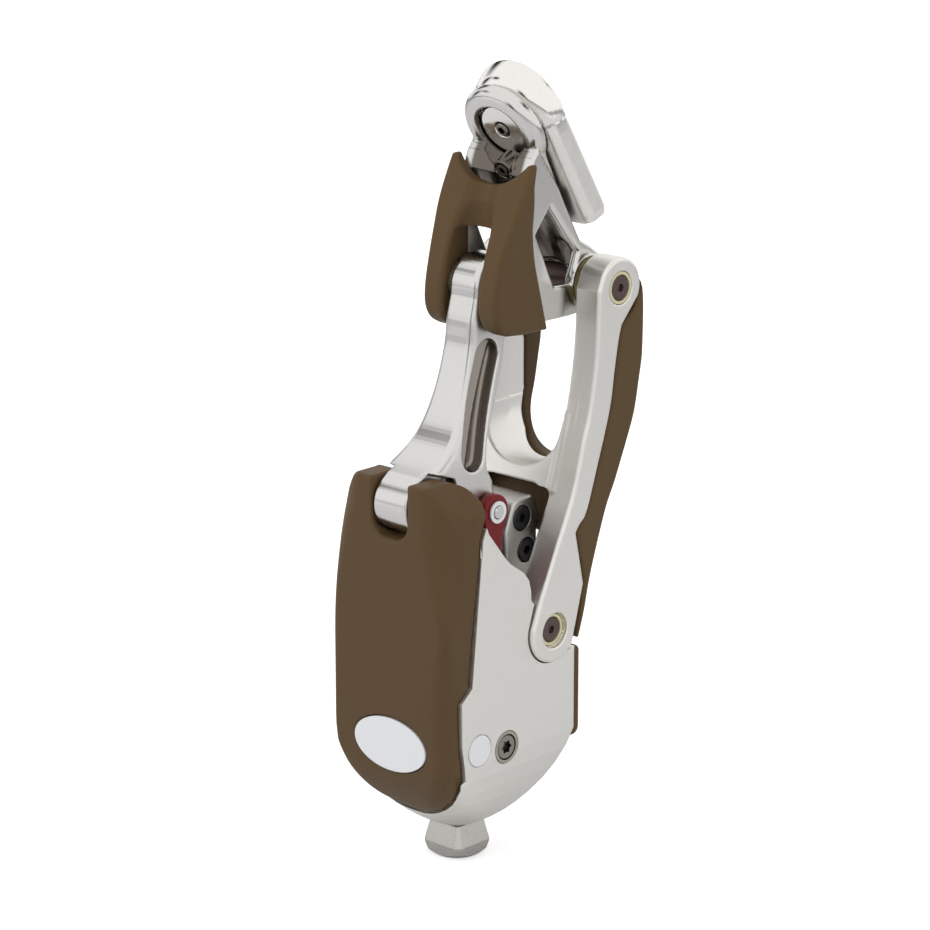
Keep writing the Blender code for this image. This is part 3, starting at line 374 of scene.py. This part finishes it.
def skin(name, field, low, high, step, look, body, replaced, satin_sides=None, deep=None):
    """A closed skin on the zero surface of a distance field, in millimetres. The field is laid on a grid, each
    cell that it crosses gets one vertex in the middle of its crossings, each crossed grid edge gets one
    quad, and three Newton steps move every vertex by -f * grad f / |grad f|^2 onto the surface."""
    axes = [np.arange(a - 2 * step, b + 3 * step, step) for a, b in zip(low, high)]
    shape = [len(axis) for axis in axes]
    laid = field(*np.meshgrid(*axes, indexing="ij", sparse=True))
    value = np.ascontiguousarray(np.broadcast_to(laid, shape))
    ids, spots, quads = [], [], []
    for axis in range(3):
        line = np.moveaxis(value, axis, 0)
        i, j, k = np.nonzero((line[:-1] < 0) != (line[1:] < 0))
        first, second = line[i, j, k], line[i + 1, j, k]
        spot = np.insert(np.stack([j, k], 1).astype(float), axis, i + first / (first - second), axis=1)
        around = [np.ravel_multi_index(np.insert(np.stack([j + dj, k + dk], 1), axis, i, axis=1).T, shape)
                  for dj, dk in ((-1, -1), (0, -1), (0, 0), (-1, 0))]
        ids += around
        spots += [spot] * 4
        quad = np.stack(around, 1)
        quads.append(np.where(((first < 0) ^ (axis == 1))[:, None], quad, quad[:, ::-1]))
    used, index = np.unique(np.concatenate(ids), return_inverse=True)
    spots = np.concatenate(spots)
    verts = np.stack([np.bincount(index, spots[:, c]) / np.bincount(index) for c in range(3)], 1)
    verts = verts * step + np.array([axis[0] for axis in axes])
    faces = np.searchsorted(used, np.concatenate(quads))
    for _ in range(3):
        slope = slope_of(field, verts)
        move = -field(*verts.T)[:, None] * slope / np.maximum((slope ** 2).sum(1), 0.25)[:, None]
        verts += np.clip(move, -step / 2, step / 2)
    slope = slope_of(field, verts, 0.05)
    slope /= np.maximum(np.linalg.norm(slope, axis=1), 1e-6)[:, None]
    mesh = bpy.data.meshes.new(name)
    mesh.from_pydata((verts / 1000).tolist(), [], faces.tolist())
    mesh.shade_smooth()
    if satin_sides:
        level = np.clip((satin_sides[1] - np.abs(slope[:, 0])) / (satin_sides[1] - satin_sides[0]), 0, 1)
        mesh.attributes.new("shine", "FLOAT", "POINT").data.foreach_set("value", level)
    # The deep attribute marks where the finish darkens the colour as painted shade.
    if deep:
        mesh.attributes.new("deep", "FLOAT", "POINT").data.foreach_set("value", np.clip(deep(*verts.T), 0, 1))
    mesh.normals_split_custom_set_from_vertices(slope.tolist())
    mesh.materials.append(look)
    made = bpy.data.objects.new(name, mesh)
    bpy.context.scene.collection.objects.link(made)
    if body:
        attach(made, body)
    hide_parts(*replaced)
    return made


BROWN_COLOR = (0.105, 0.063, 0.026)
brown = finish("brown_polymer", BROWN_COLOR, 0.5, 0.0, (2600, 2600, 2600), 0.00004, 0.05, spread=0.04,
               specular=0.25)
LOWER_FRONT = (-26.0, 150.5)
COVER_DEPTH, COVER_FACET, COVER_WALL = 38.0, 26.0, 2.8
COVER_HALF, COVER_PROUD, BOWL_TOP, BOWL_SHIFT = 31.0, 2.0, 50.0, 2.4
NOTCH_HALF, NOTCH_BOTTOM, FOOT_HALF, FOOT_CLEAR = 9.3, 138.2, 9.2, 12.2
SWEEP_HALF, SWEEP_RADIUS = 14.8, 11.7
BADGE_HALF, BADGE_HEIGHT, BADGE_FLOOR = (19.4, 11.1), 55, 36.9
COVER_RIGHT = ((104.0, 31.0), (117.0, 26.4), (127.0, 23.4), (136.0, 20.8), (153.0, 19.6))
COVER_LEFT = ((44.0, 31.0), (56.0, 33.0), (100.0, 33.0), (115.0, 31.2), (127.0, 28.8), (140.0, 26.0),
              (153.0, 21.2))
COVER_CORNER = ((50.0, 7.0), (60.0, 9.5), (84.0, 9.5), (104.0, 5.0), (120.0, 3.4))
COVER_BORDER = [(-60.0, 23.8), (-19.0, 23.8), (-26.8, 37.0), (-29.0, 50.0), (-30.4, 58.0), (-30.6, 76.6),
                (-24.8, 81.4),
                (-18.9, 139.0)] + arc(LOWER_FRONT, 11.0, -20, 90) + [(-60.0, 161.5)]
COVER_SHOULDER = [(31.6, 120.0), (31.4, 134.0), (30.4, 142.5), (28.2, 149.5), (25.2, 155.0), (21.4, 159.6),
                  (17.0, 163.0)]
COVER_FRONT = COVER_SHOULDER + [(-x, z) for x, z in COVER_SHOULDER[::-1]] + [(-33.6, 118.0)]
COVER_FRONT += [((33.6 if t < 270 else 31.6) * math.cos(math.radians(t)), 54 + 30 * math.sin(math.radians(t)))
                for t in range(180, 361, 5)]


def knots(z, pairs):
    """Smooth value at a height through (height, value) pairs: linear, averaged over six millimetres."""
    highs, values = zip(*pairs)
    return sum(np.interp(z + shift, highs, values) for shift in (-6, -3, 0, 3, 6)) / 5


def bowl(z):
    """Share of the full section left at a height."""
    return (1 - (np.clip(BOWL_TOP - z, 0, 38.5) / 39) ** 2) ** 0.6


def cover_body(x, y, z):
    """The cover's full body: a front plane, two side planes and two slanting facets, each facet the signed
    distance to the line from the side at COVER_FACET to the front, joined by rounded corners. Width and depth
    are divided by the section's share, so it shrinks towards the bowl."""
    scale = bowl(z)
    wide, deep = x / scale, (y - BOWL_SHIFT * (1 - scale ** 4)) / scale
    right_side, left_side = COVER_HALF, COVER_HALF + COVER_PROUD * np.clip((z - 44) / 12, 0, 1)
    turn_right, turn_left = knots(z, COVER_RIGHT) - right_side, knots(z, COVER_LEFT) - left_side
    run = COVER_DEPTH - COVER_FACET
    facet_right = ((wide - right_side) * run + (deep + COVER_FACET) * turn_right) / np.hypot(run, turn_right)
    facet_left = (-(wide + left_side) * run + (deep + COVER_FACET) * turn_left) / np.hypot(run, turn_left)
    front = -deep - COVER_DEPTH
    low = np.clip((BOWL_TOP - z) / 30, 0, 1) * 14
    form = both(front, both(facet_right, wide - right_side, 5.0), knots(z, COVER_CORNER) + low)
    return both(form, both(facet_left, -wide - left_side, 5.0), 4.0 + low) * scale


def cover_field(x, y, z):
    """The body within its front and side outlines, less a hollow COVER_WALL behind its skin, the link's
    notch, the room round the link's foot and its sweep behind the axle, and the badge's oval recess."""
    body = cover_body(x, y, z)
    behind_axle = np.clip((y + 24.0) / 4.0, 0, 1) * np.clip((z - 142.0) / 6.0, 0, 1)
    form = both(body, outline(x, z, COVER_FRONT) - 1.5 * behind_axle, 3.0)
    form = both(form, outline(y, z, COVER_BORDER), 1.0)
    form = without(form, both(body + COVER_WALL, z - 134.0, 0.5), 0.4)
    notch = both(np.abs(x) - NOTCH_HALF, NOTCH_BOTTOM - z, 7.5)
    form = without(form, notch, 1.3)
    reach = np.hypot(y - LOWER_FRONT[0], z - LOWER_FRONT[1])
    form = without(form, both(reach - FOOT_CLEAR, np.abs(x) - FOOT_HALF, 0.5), 0.5)
    behind = -(0.242 * (z - LOWER_FRONT[1]) + 0.97 * (y - LOWER_FRONT[0]))
    sweep = np.maximum(SWEEP_RADIUS - reach, np.maximum(behind, np.abs(x) - SWEEP_HALF))
    form = without(form, sweep, 0.3)
    badge = (np.hypot(x / BADGE_HALF[0], (z - BADGE_HEIGHT) / BADGE_HALF[1]) - 1) * 12
    return without(form, both(badge, y + BADGE_FLOOR, 0.1), 0.5)


skin("front_cover_skin", cover_field, (-33.4, -38.2, 22), (31.4, -14, 163), 0.75, brown, "housing",
     ("front_cover",))


# Head cover: a hood of the same polymer over the front of the head, with two legs beside the link.
# A funnel scooped between the legs lets the link's hub swing, and a round bite clears the clamp eye.
HOOD_SIDE = smoothed([(19.9, 277.5), (15.4, 268.5), (8.9, 254.0), (4.6, 243.0), (1.9, 232.0), (1.1, 224.0),
                      (1.9, 219.0), (4.4, 215.0), (9.0, 212.3)])
HOOD_SIDE += [(18.0, 211.3), (32.3, 211.0), (25.0, 238.0), (21.9, 253.0), (21.5, 268.8), (23.0, 277.6)]
HOOD_HALF = ((238.0, 19.5), (246.0, 19.8), (260.0, 22.1), (280.0, 22.1))
SCOOP_FLOOR, SCOOP_RADIUS, SCOOP_FOOT = 15.5, 9.3, 251.5
SPACER_CLEAR, NECK_HALF, NECK_TOP, BITE_HEIGHT, BITE_RADIUS = 10.4, 13.2, 261.7, 290.5, 22.5
UPPER_FRONT = (16.0, 229.0)


def hood_field(x, y, z):
    """The side outline as wide as HOOD_HALF at each height, less a round-bottomed channel down to a floor
    that slopes back, a slot below SCOOP_FOOT, the swing of the link's hub, the neck and the eye's round bite."""
    side = outline(y, z, HOOD_SIDE)
    form = both(side, np.abs(x) - knots(z, HOOD_HALF) + np.clip((y - 12) / 60, 0, 0.3), 2.6)
    scoop_floor = SCOOP_FLOOR + 0.45 * np.clip(z - NECK_TOP, 0, 6)
    scoop = np.hypot(x, np.maximum(y - scoop_floor + SCOOP_RADIUS, 0)) - SCOOP_RADIUS
    form = without(form, scoop, 2.2)
    form = without(form, both(np.abs(x) - SCOOP_RADIUS, z - SCOOP_FOOT, 1.5), 0.4)
    spacer = capsule(y, z, UPPER_FRONT, SPACER_CLEAR, (36.0, 229.0), SPACER_CLEAR)
    spacer = both(spacer, np.abs(x) - NECK_HALF, 0.5)
    neck = both(np.maximum(16.8 - y, z - NECK_TOP), np.abs(x) - NECK_HALF, 0.5)
    form = without(form, either(spacer, neck, 0.5), 0.5)
    return without(form, np.hypot(x, z - BITE_HEIGHT) - BITE_RADIUS, 1.0)


skin("head_cover_skin", hood_field, (-22.6, 0.5, 210), (22.6, 33, 279), 0.6, brown, "head", ("head_cover",))


# Front link: a forged aluminium lever, polished in front and silk-blasted on its flanks.
# Long pockets lighten both flanks, and it spreads into a foot round the lower front axle.
LINK_COLOR = (0.72, 0.71, 0.69)
# Painted shade: the pockets' floors and walls take a darker colour where the deep mask is one.
link_metal = finish("link_metal", LINK_COLOR, 0.38, 1.0, (2600, 2600, 200), 0.000008, 0.04, shine=0.22,
                    painted_shade_color=(0.30, 0.27, 0.24))
STRAP_PIVOT = (1.5, 144.5)
AXLE_BORE, STRAP_BORE = 4.9, 2.9
POCKET = ((8.6, 203.5), 6.3, (-4.6, 166.5), 5.8)
LINK_SIDE = arc(UPPER_FRONT, 12.8, -70, 180, 40) + smoothed([
    (3.0, 226.5), (2.4, 224.0), (0.9, 217.0), (0.1, 209.0), (-1.4, 202.0), (-3.4, 194.5), (-5.8, 187.5),
    (-8.6, 181.0), (-11.6, 175.6),
    (-15.6, 170.8), (-20.1, 167.3), (-24.7, 164.5), (-29.4, 162.3)])
LINK_SIDE += arc(LOWER_FRONT, 11.8, 130, 320, 40) + [(-14.8, 147.0)] + arc(STRAP_PIVOT, 7.0, 225, 375, 12)
LINK_SIDE += smoothed([(6.6, 155.0), (4.2, 160.0), (4.3, 164.5), (6.5, 171.2), (10.6, 178.8), (15.4, 189.4),
                       (18.9, 199.6), (20.4, 208.6)])
LINK_HALF = ((161.0, 14.25), (168.0, 12.6), (175.0, 11.0), (182.0, 9.9), (190.0, 9.0), (200.0, 8.3),
             (210.0, 8.0))
FOOT_UNDER = (arc(LOWER_FRONT, 13.4, 95, 180) + arc(LOWER_FRONT, 12.2, 180, 370)
              + [(-14.2, 152.0), (-16.0, 160.0)])


def link_field(x, y, z):
    """The side outline as wide as LINK_HALF at each height, less a capsule pocket in each flank whose depth
    grows with the distance from a slanting line, the flanks under the foot, the rod's gap and three bores."""
    half = knots(z, LINK_HALF)
    side = outline(y, z, LINK_SIDE)
    form = both(side, np.abs(x) - half, 3.2)
    ridge = np.abs((y - 2.0) * 0.92 - (z - 184.0) * 0.39)
    floor_depth = 3.2 + np.minimum(0.8 * ridge, 2.8)
    pocket = both(capsule(y, z, *POCKET), half - floor_depth - np.abs(x), 1.6)
    form = without(form, pocket, 1.0)
    form = without(form, both(outline(y, z, FOOT_UNDER), 8.7 - np.abs(x), 0.6), 1.2)
    lever = np.hypot(y - STRAP_PIVOT[0], z - STRAP_PIVOT[1])
    form = without(form, both(lever - 11.2, np.abs(x) - 5.0, 0.6), 0.6)
    form = without(form, np.hypot(y - LOWER_FRONT[0], z - LOWER_FRONT[1]) - AXLE_BORE, 0.5)
    form = without(form, np.hypot(y - UPPER_FRONT[0], z - UPPER_FRONT[1]) - AXLE_BORE, 0.5)
    return without(form, lever - STRAP_BORE, 0.4)


def link_pocket_shade(x, y, z):
    """One on the pockets' floors and walls, where the link's colour is darkened as painted shade, and zero on
    the flanks.
    """
    inside = capsule(y, z, *POCKET)
    return np.where(inside < 0.6, knots(z, LINK_HALF) - np.abs(x) - 0.5, 0.0)


skin("front_link_skin", link_field, (-14.5, -38, 138), (14.5, 29, 242), 0.6, link_metal, "front_link",
     ("front_link",),
     satin_sides=(0.55, 0.85), deep=link_pocket_shade)


# Head frame: a polished casting. Two cheeks run down to the upper rear axle, a dished neck
# carries the clamp eye, and a triangular window lightens both cheeks.
# Painted shade: between the cheeks and on the neck's front the colour is darkened to a near-black brown.
polished = finish("polished_aluminium", LINK_COLOR, 0.17, 1.0, (260, 260, 260), 0.0, 0.02, spread=0.03,
                  painted_shade_color=(0.17, 0.15, 0.13))
UPPER_REAR, EYE = (58.0, 225.6), (29.2, 289.8)
EYE_COS, EYE_SIN = math.cos(math.radians(27.0)), math.sin(math.radians(27.0))
EYE_RADIUS, EYE_DEPTH, EYE_BORE, HEAD_HALF, HEAD_INNER = 18.6, 6.0, 11.2, 17.4, 13.0
CLAMP_SCREW = (4.0, 21.2, 273.2)
HEAD_SIDE = [(27.5, 283.0), (30.8, 277.0), (40.1, 264.6), (48.4, 249.6), (52.0, 243.5), (58.0, 240.0)]
HEAD_SIDE += arc(UPPER_REAR, 11.8, 55, -60, 9) + [
    (46.4, 213.8), (18.0, 214.4), (8.2, 217.2), (4.2, 222.0), (4.4, 231.5), (8.4, 243.0), (13.8, 254.5),
    (20.2, 268.5), (24.4, 279.0)]
HEAD_INSIDE = [(-10.0, 200.0), (80.0, 200.0), (80.0, 243.0), (47.0, 243.0), (40.0, 245.5), (36.0, 245.5),
               (31.0, 252.0), (24.0, 262.0), (12.0, 262.0), (-10.0, 250.0)]
HEAD_BACK = [(36.5, 262.5), (40.1, 264.6), (48.4, 249.6), (53.0, 242.5), (57.0, 233.0), (54.5, 231.5),
             (50.0, 241.0), (45.5, 248.0)]
HEAD_WINDOW = [(34.6, 258.6), (26.8, 249.0), (37.2, 227.6), (46.6, 226.8), (50.6, 238.6)]


def along(y, z):
    """Distances back along the clamp axis and down the plate, from the eye's centre."""
    return (y - EYE[0]) * EYE_COS + (z - EYE[1]) * EYE_SIN, (y - EYE[0]) * EYE_SIN - (z - EYE[1]) * EYE_COS


def head_field(x, y, z):
    """Two cheeks, the side outline less the space between them and the window, joined to the rear web, the
    axle's boss and flanges, the neck, the clamp eye and the screw's sleeve, less the dish and the bores."""
    n, u = along(y, z)
    form = both(outline(y, z, HEAD_SIDE), np.abs(x) - HEAD_HALF, 1.2)
    form = without(form, both(outline(y, z, HEAD_INSIDE), np.abs(x) - HEAD_INNER, 2.0), 0.6)
    form = without(form, outline(y, z, HEAD_WINDOW), 2.0)
    form = either(form, both(outline(y, z, HEAD_BACK), np.abs(x) - 14.0, 0.8), 0.8)
    reach = np.hypot(y - UPPER_REAR[0], z - UPPER_REAR[1])
    form = either(form, both(reach - 6.9, np.abs(x) - 14.0, 0.5), 1.0)
    form = either(form, both(reach - 10.9, np.abs(np.abs(x) - 15.4) - 2.2, 0.5), 0.6)
    rho = np.hypot(x, u)
    neck = both(both(np.abs(u - 19.0) - 9.5, np.abs(n + 4.7) - 4.2, 1.0), np.abs(x) - 16.0, 1.5)
    form = either(form, neck, 1.5)
    dish = both(np.hypot(x, n + 15.6) - 13.4, 13.0 - u, 2.0)
    form = without(form, dish, 1.2)
    eye = both(both(rho - EYE_RADIUS, -n - EYE_DEPTH, 4.2), n + 0.3, 0.4)
    form = either(form, eye, 0.8)
    form = without(form, both(rho - EYE_BORE, u - 16.0, 0.5), 1.4)
    ahead, rise = y - CLAMP_SCREW[1], z - CLAMP_SCREW[2]
    screw = np.hypot(x - CLAMP_SCREW[0], ahead * EYE_SIN - rise * EYE_COS)
    form = either(form, both(screw - 4.4, np.abs(ahead * EYE_COS + rise * EYE_SIN - 4.4) - 4.2, 0.5), 0.6)
    form = without(form, both(screw - 3.1, np.abs(n + 8.0) - 14.0, 0.3), 0.4)
    return without(form, reach - 5.3, 0.4)


def head_inside_shade(x, y, z):
    """One between the cheeks and on the neck's front, falling to zero up the eye and outside the cheeks: the
    mask of the head's painted shade.
    """
    n, u = along(y, z)
    return np.clip((13.8 - np.abs(x)) / 1.2, 0, 1) * np.clip((u + 2.0) / 5.0, 0, 1)


skin("head_frame_skin", head_field, (-18, 3, 212), (18, 71, 310), 0.7, polished, "head", ("head_frame",),
     deep=head_inside_shade)


# Lamination plate: an aluminium bar with a round flare on top, laminated into the socket.
# The flare is polished like the eye that clamps it, and the bar's flanks are brushed.
plate_metal = finish("plate_metal", SATIN_COLOR, 0.34, 1.0, (2600, 400, 400), 0.000008, 0.05, shine=0.12)
PLATE_THICK, FLARE_RADIUS = 11.0, 21.6
PLATE_FORM = (arc((0, 0), FLARE_RADIUS, 180, 360, 60)
              + [(25.2, 41.5), (23.5, 45.8), (19.2, 47.5), (-19.2, 47.5), (-23.5, 45.8), (-25.2, 41.5)])


def plate_field(x, y, z):
    """The outline, drawn in towards the eye by the 1.5th power of the thickness left, between two planes
    across the clamp axis, with a stub in the eye and a hole for its screw."""
    n, u = along(y, z)
    thick = PLATE_THICK * (1 + 0.2 * np.clip(-u / FLARE_RADIUS, 0, 1))
    taper = np.clip((thick - n) / thick, 0, 1)
    form = outline(x, u, PLATE_FORM) + np.where(u < 0, 3.6, 1.0) * taper ** 1.5
    form = both(both(form, 0.4 - n, 4.0), n - thick, 1.8)
    rho = np.hypot(x, u)
    form = either(form, both(rho - 10.4, np.abs(n) - 3.9, 0.6), 0.5)
    return without(form, rho - 3.3, 0.5)


def polished_flare(points):
    """One on the round flare and zero down the bar."""
    n, u = along(points[:, 1], points[:, 2])
    return np.clip((6.0 - u) / 8.0, 0, 1)


lamination = skin("lamination_plate_skin", plate_field, (-25.4, 22, 240), (25.4, 63, 316), 0.75, plate_metal,
                  "plate",
                  ("lamination_plate",), satin_sides=(2.0, 3.0))
plate_points = np.array([v.co for v in lamination.data.vertices]) * 1000
lamination.data.attributes["shine"].data.foreach_set("value", polished_flare(plate_points))


# Rear yoke: one aluminium forging with two curved arms and a web between them.
# It is silk-blasted, with soft edges, and hollowed round the throat that the head swings into.
yoke_satin = finish("yoke_satin", SATIN_COLOR, 0.40, 1.0, (2600, 2600, 160), 0.00001, 0.05)
LOWER_REAR = (21.0, 94.5)
YOKE_ARM = arc(UPPER_REAR, 12.0, -25, 150, 30) + smoothed([
    (45.3, 225.8), (45.1, 217.2), (44.7, 207.6), (43.9, 198.1), (42.3, 187.7), (40.0, 176.5), (37.3, 168.6),
    (34.3, 158.2), (31.2, 148.1), (26.9, 138.3), (22.0, 128.5), (12.8, 108.8)])
YOKE_ARM += arc(LOWER_REAR, 13.0, 170, 325, 30) + [(38.1, 110.1)] + smoothed([
    (33.4, 131.7), (35.4, 134.2), (39.8, 139.0), (45.9, 155.9), (53.0, 177.5), (55.7, 193.1), (57.9, 204.8),
    (59.6, 210.5)])
THROAT_HEIGHT, THROAT_RADIUS, ARM_INNER = 173.5, 20.5, 20.5
YOKE_TRAY = [(31.6, 147.2), (33.0, 151.0), (38.5, 170.0), (42.5, 186.0), (45.0, 200.0), (46.0, 207.0),
             (57.5, 207.0), (62.0, 196.0), (62.0, 176.0), (58.0, 160.0), (47.0, 147.2)]
YOKE_WEB = YOKE_TRAY[:3] + [(40.0, 176.0), (62.0, 176.0)] + YOKE_TRAY[-2:]


def yoke_field(x, y, z):
    """Two arms, a tray and a web, each a side outline of its own width, blended together, less the round
    throat, the gap between the arms above it, the window below it and the seats of both axles."""
    wide = np.abs(x)
    arm = both(outline(y, z, YOKE_ARM), np.abs(wide - 26.85) - 6.35, 1.6)
    tray = both(outline(y, z, YOKE_TRAY), np.abs(wide - 23.6) - 3.0, 0.8)
    web = both(outline(y, z, YOKE_WEB), wide - 22.5, 1.0)
    throat = np.hypot(x, z - THROAT_HEIGHT)
    web = without(web, throat - THROAT_RADIUS, 1.5)
    form = either(either(arm, web, 3.0), tray, 1.0)
    form = without(form, np.maximum(wide - ARM_INNER, THROAT_HEIGHT - z), 0.6)
    window = both(wide - 16.5, z - 147.5, 6.0)
    form = without(form, window, 1.5)
    foot = np.hypot(y - LOWER_REAR[0], z - LOWER_REAR[1])
    form = without(form, both(foot - 7.1, 31.2 - wide, 0.2), 0.6)
    form = without(form, foot - 6.7, 0.3)
    return without(form, np.hypot(y - UPPER_REAR[0], z - UPPER_REAR[1]) - 6.7, 0.4)


skin("rear_yoke_skin", yoke_field, (-33.2, 8, 81), (33.2, 70, 238), 0.75, yoke_satin, "yoke", ("rear_yoke",))


# Yoke cover: a moulded back of brown polymer clipped to the yoke's arms.
# It is open round the throat above and over the lower axle below.
YOKE_COVER_HALF = 33.0
COVER_BACK = smoothed([(71.3, 227.0), (72.3, 222.0), (72.7, 217.0), (72.7, 207.0), (72.3, 196.0),
                       (70.7, 187.0), (68.1, 174.5), (64.6, 165.4), (60.6, 156.4), (56.5, 147.4),
                       (51.8, 138.6), (46.7, 125.0), (42.1, 111.0), (39.2, 99.0), (35.8, 88.4)])
COVER_INSIDE = [(34.5, 87.4), (38.5, 110.2), (33.9, 131.7), (40.2, 138.8), (46.4, 155.8), (53.5, 177.5),
                (56.2, 193.1), (58.4, 204.7), (60.1, 210.2), (67.2, 215.8), (70.6, 222.9)]
TRAY_SPACE = [(31.6, 146.8), (31.6, 210.0), (57.9, 207.6), (62.3, 196.1), (62.3, 175.9), (58.2, 159.7),
              (47.3, 146.8)]


def yoke_cover_field(x, y, z):
    """The band between its back and inside outlines, less the tray's space, a mouth that is round below
    THROAT_HEIGHT and straight above, and the opening over the lower axle."""
    wide = np.abs(x)
    form = both(outline(y, z, COVER_BACK + COVER_INSIDE), wide - YOKE_COVER_HALF, 1.6)
    form = without(form, np.maximum(outline(y, z, TRAY_SPACE), wide - 26.9), 0.4)
    mouth = np.where(z > THROAT_HEIGHT, wide, np.hypot(x, z - THROAT_HEIGHT)) - THROAT_RADIUS
    form = without(form, mouth, 1.2)
    return without(form, both(wide - 17.0, z - 128.0, 8.0), 1.2)


skin("yoke_cover_skin", yoke_cover_field, (-33, 33, 87), (33, 73, 227), 0.75, brown, "yoke", ("yoke_cover",))


# Spring straps: red elastomer bands between the lower axle and the link's lever.
# They are moulded with an eye at each end and a waist between, and they shorten as the hip bends.
red = finish("red_elastomer", (0.19, 0.010, 0.013), 0.38, 0.0, (900, 900, 900), 0.00003, 0.05, specular=0.3)
TRUNNION = (-4.6, 52.5)
TRUNNION_BORE, STRAP_NEAR, STRAP_FAR = 5.0, 15.4, 19.7


def strap_field(side):
    def field(x, y, z):
        """Two eyes blended into a capsule waist, within the strap's thickness, less their bores."""
        lower = np.hypot(y - TRUNNION[0], z - TRUNNION[1]) - 8.0
        upper = np.hypot(y - STRAP_PIVOT[0], z - STRAP_PIVOT[1]) - 6.2
        waist = capsule(y, z, TRUNNION, 4.4, STRAP_PIVOT, 4.4)
        form = both(either(either(waist, upper, 5.0), lower, 5.0), np.abs(x * side - 17.55) - 2.15, 1.0)
        form = without(form, np.hypot(y - STRAP_PIVOT[0], z - STRAP_PIVOT[1]) - STRAP_BORE, 0.4)
        return without(form, np.hypot(y - TRUNNION[0], z - TRUNNION[1]) - TRUNNION_BORE, 0.4)
    return field


for word, side in (("left", -1), ("right", 1)):
    low, high = sorted((side * STRAP_NEAR, side * STRAP_FAR))
    strap = skin(f"strap_skin_{word}", strap_field(side), (low, -13, 44), (high, 8, 151), 0.6, red, None,
                 (f"spring_strap_{word}",))
    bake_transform(strap)


# Rear cover: a thin moulded panel let into the housing's back.
dress(finish("rear_panel_polymer", BROWN_COLOR, 0.5, 0.0, (2600, 2600, 2600), 0.00004, 0.05, edge=0.0006,
             specular=0.25), "rear_cover")


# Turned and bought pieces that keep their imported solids: axles, bushes, screws, the adapter,
# the hydraulic unit, the badge and the disc. Each family has its own finish.
steel = finish("brushed_steel", (0.56, 0.54, 0.515), 0.30, 1.0, (160, 160, 3000), 0.00001, 0.1, edge=0.0004)
dark_steel = finish("dark_steel", (0.17, 0.155, 0.14), 0.3, 1.0, (800, 800, 800), 0.0, 0.1, edge=0.0003)
mauve = finish("axle_coating", (0.105, 0.068, 0.062), 0.35, 0.4, (800, 800, 800), 0.0, 0.12, edge=0.0003)
bearing = finish("bearing_polymer", (0.70, 0.66, 0.42), 0.42, 0.0, (1500, 1500, 1500), 0.0, 0.05, edge=0.0003)
olive = finish("flange_bronze", (0.22, 0.175, 0.07), 0.42, 0.5, (1500, 1500, 1500), 0.0, 0.1, edge=0.0003)
white = finish("white_plastic", (0.86, 0.87, 0.885), 0.2, 0.0, (900, 900, 900), 0.0, 0.01, 0.4, edge=0.0004)
black = finish("black_oxide", (0.018, 0.018, 0.018), 0.32, 0.3, (900, 900, 900), 0.0, 0.1, edge=0.0004)
chrome = finish("hard_chrome", (0.70, 0.70, 0.71), 0.08, 1.0, (900, 900, 900), 0.0, 0.02, edge=0.0003)
# The valve block's aluminium is painted darker than the satin to stand for the shade it sits in.
block = finish("block_aluminium_painted_shade", (0.60, 0.585, 0.56), 0.36, 1.0, (2200, 2200, 2200), 0.00001, 0.05,
               edge=0.0006)
dress(steel, "pyramid_adapter", "trunnion", "lower_front_axle", "upper_front_axle", "cylinder")
dress(dark_steel, "clamp_screw")
# Painted shade: the screws' colour darkens in their recesses.
dress(finish("screw_steel", (0.33, 0.31, 0.28), 0.28, 1.0, (800, 800, 800), 0.0, 0.1, edge=0.0003,
             painted_shade_distance=0.004),
      "plate_screw", "torx_screw_left", "torx_screw_right")
dress(mauve, "upper_rear_axle", "lower_rear_axle")
dress(bearing, "upper_ring_left", "upper_ring_right", "lower_ring_left", "lower_ring_right",
      "front_bush_left", "front_bush_right", "hub_spacer_left", "hub_spacer_right", "block_bush")
dress(olive, "boss_bush_left", "boss_bush_right")
dress(finish("washer_steel", (0.46, 0.44, 0.36), 0.35, 1.0, (800, 800, 800), 0.0, 0.1, edge=0.0003),
      "screw_washer_left",
      "screw_washer_right")
dress(white, "oval_badge", "side_disc", "strap_clip_left", "strap_clip_right")
dress(black, "valve_screw_upper", "valve_screw_lower", "gland_nut")
dress(chrome, "piston_rod", "strap_pin")
dress(block, "valve_block")
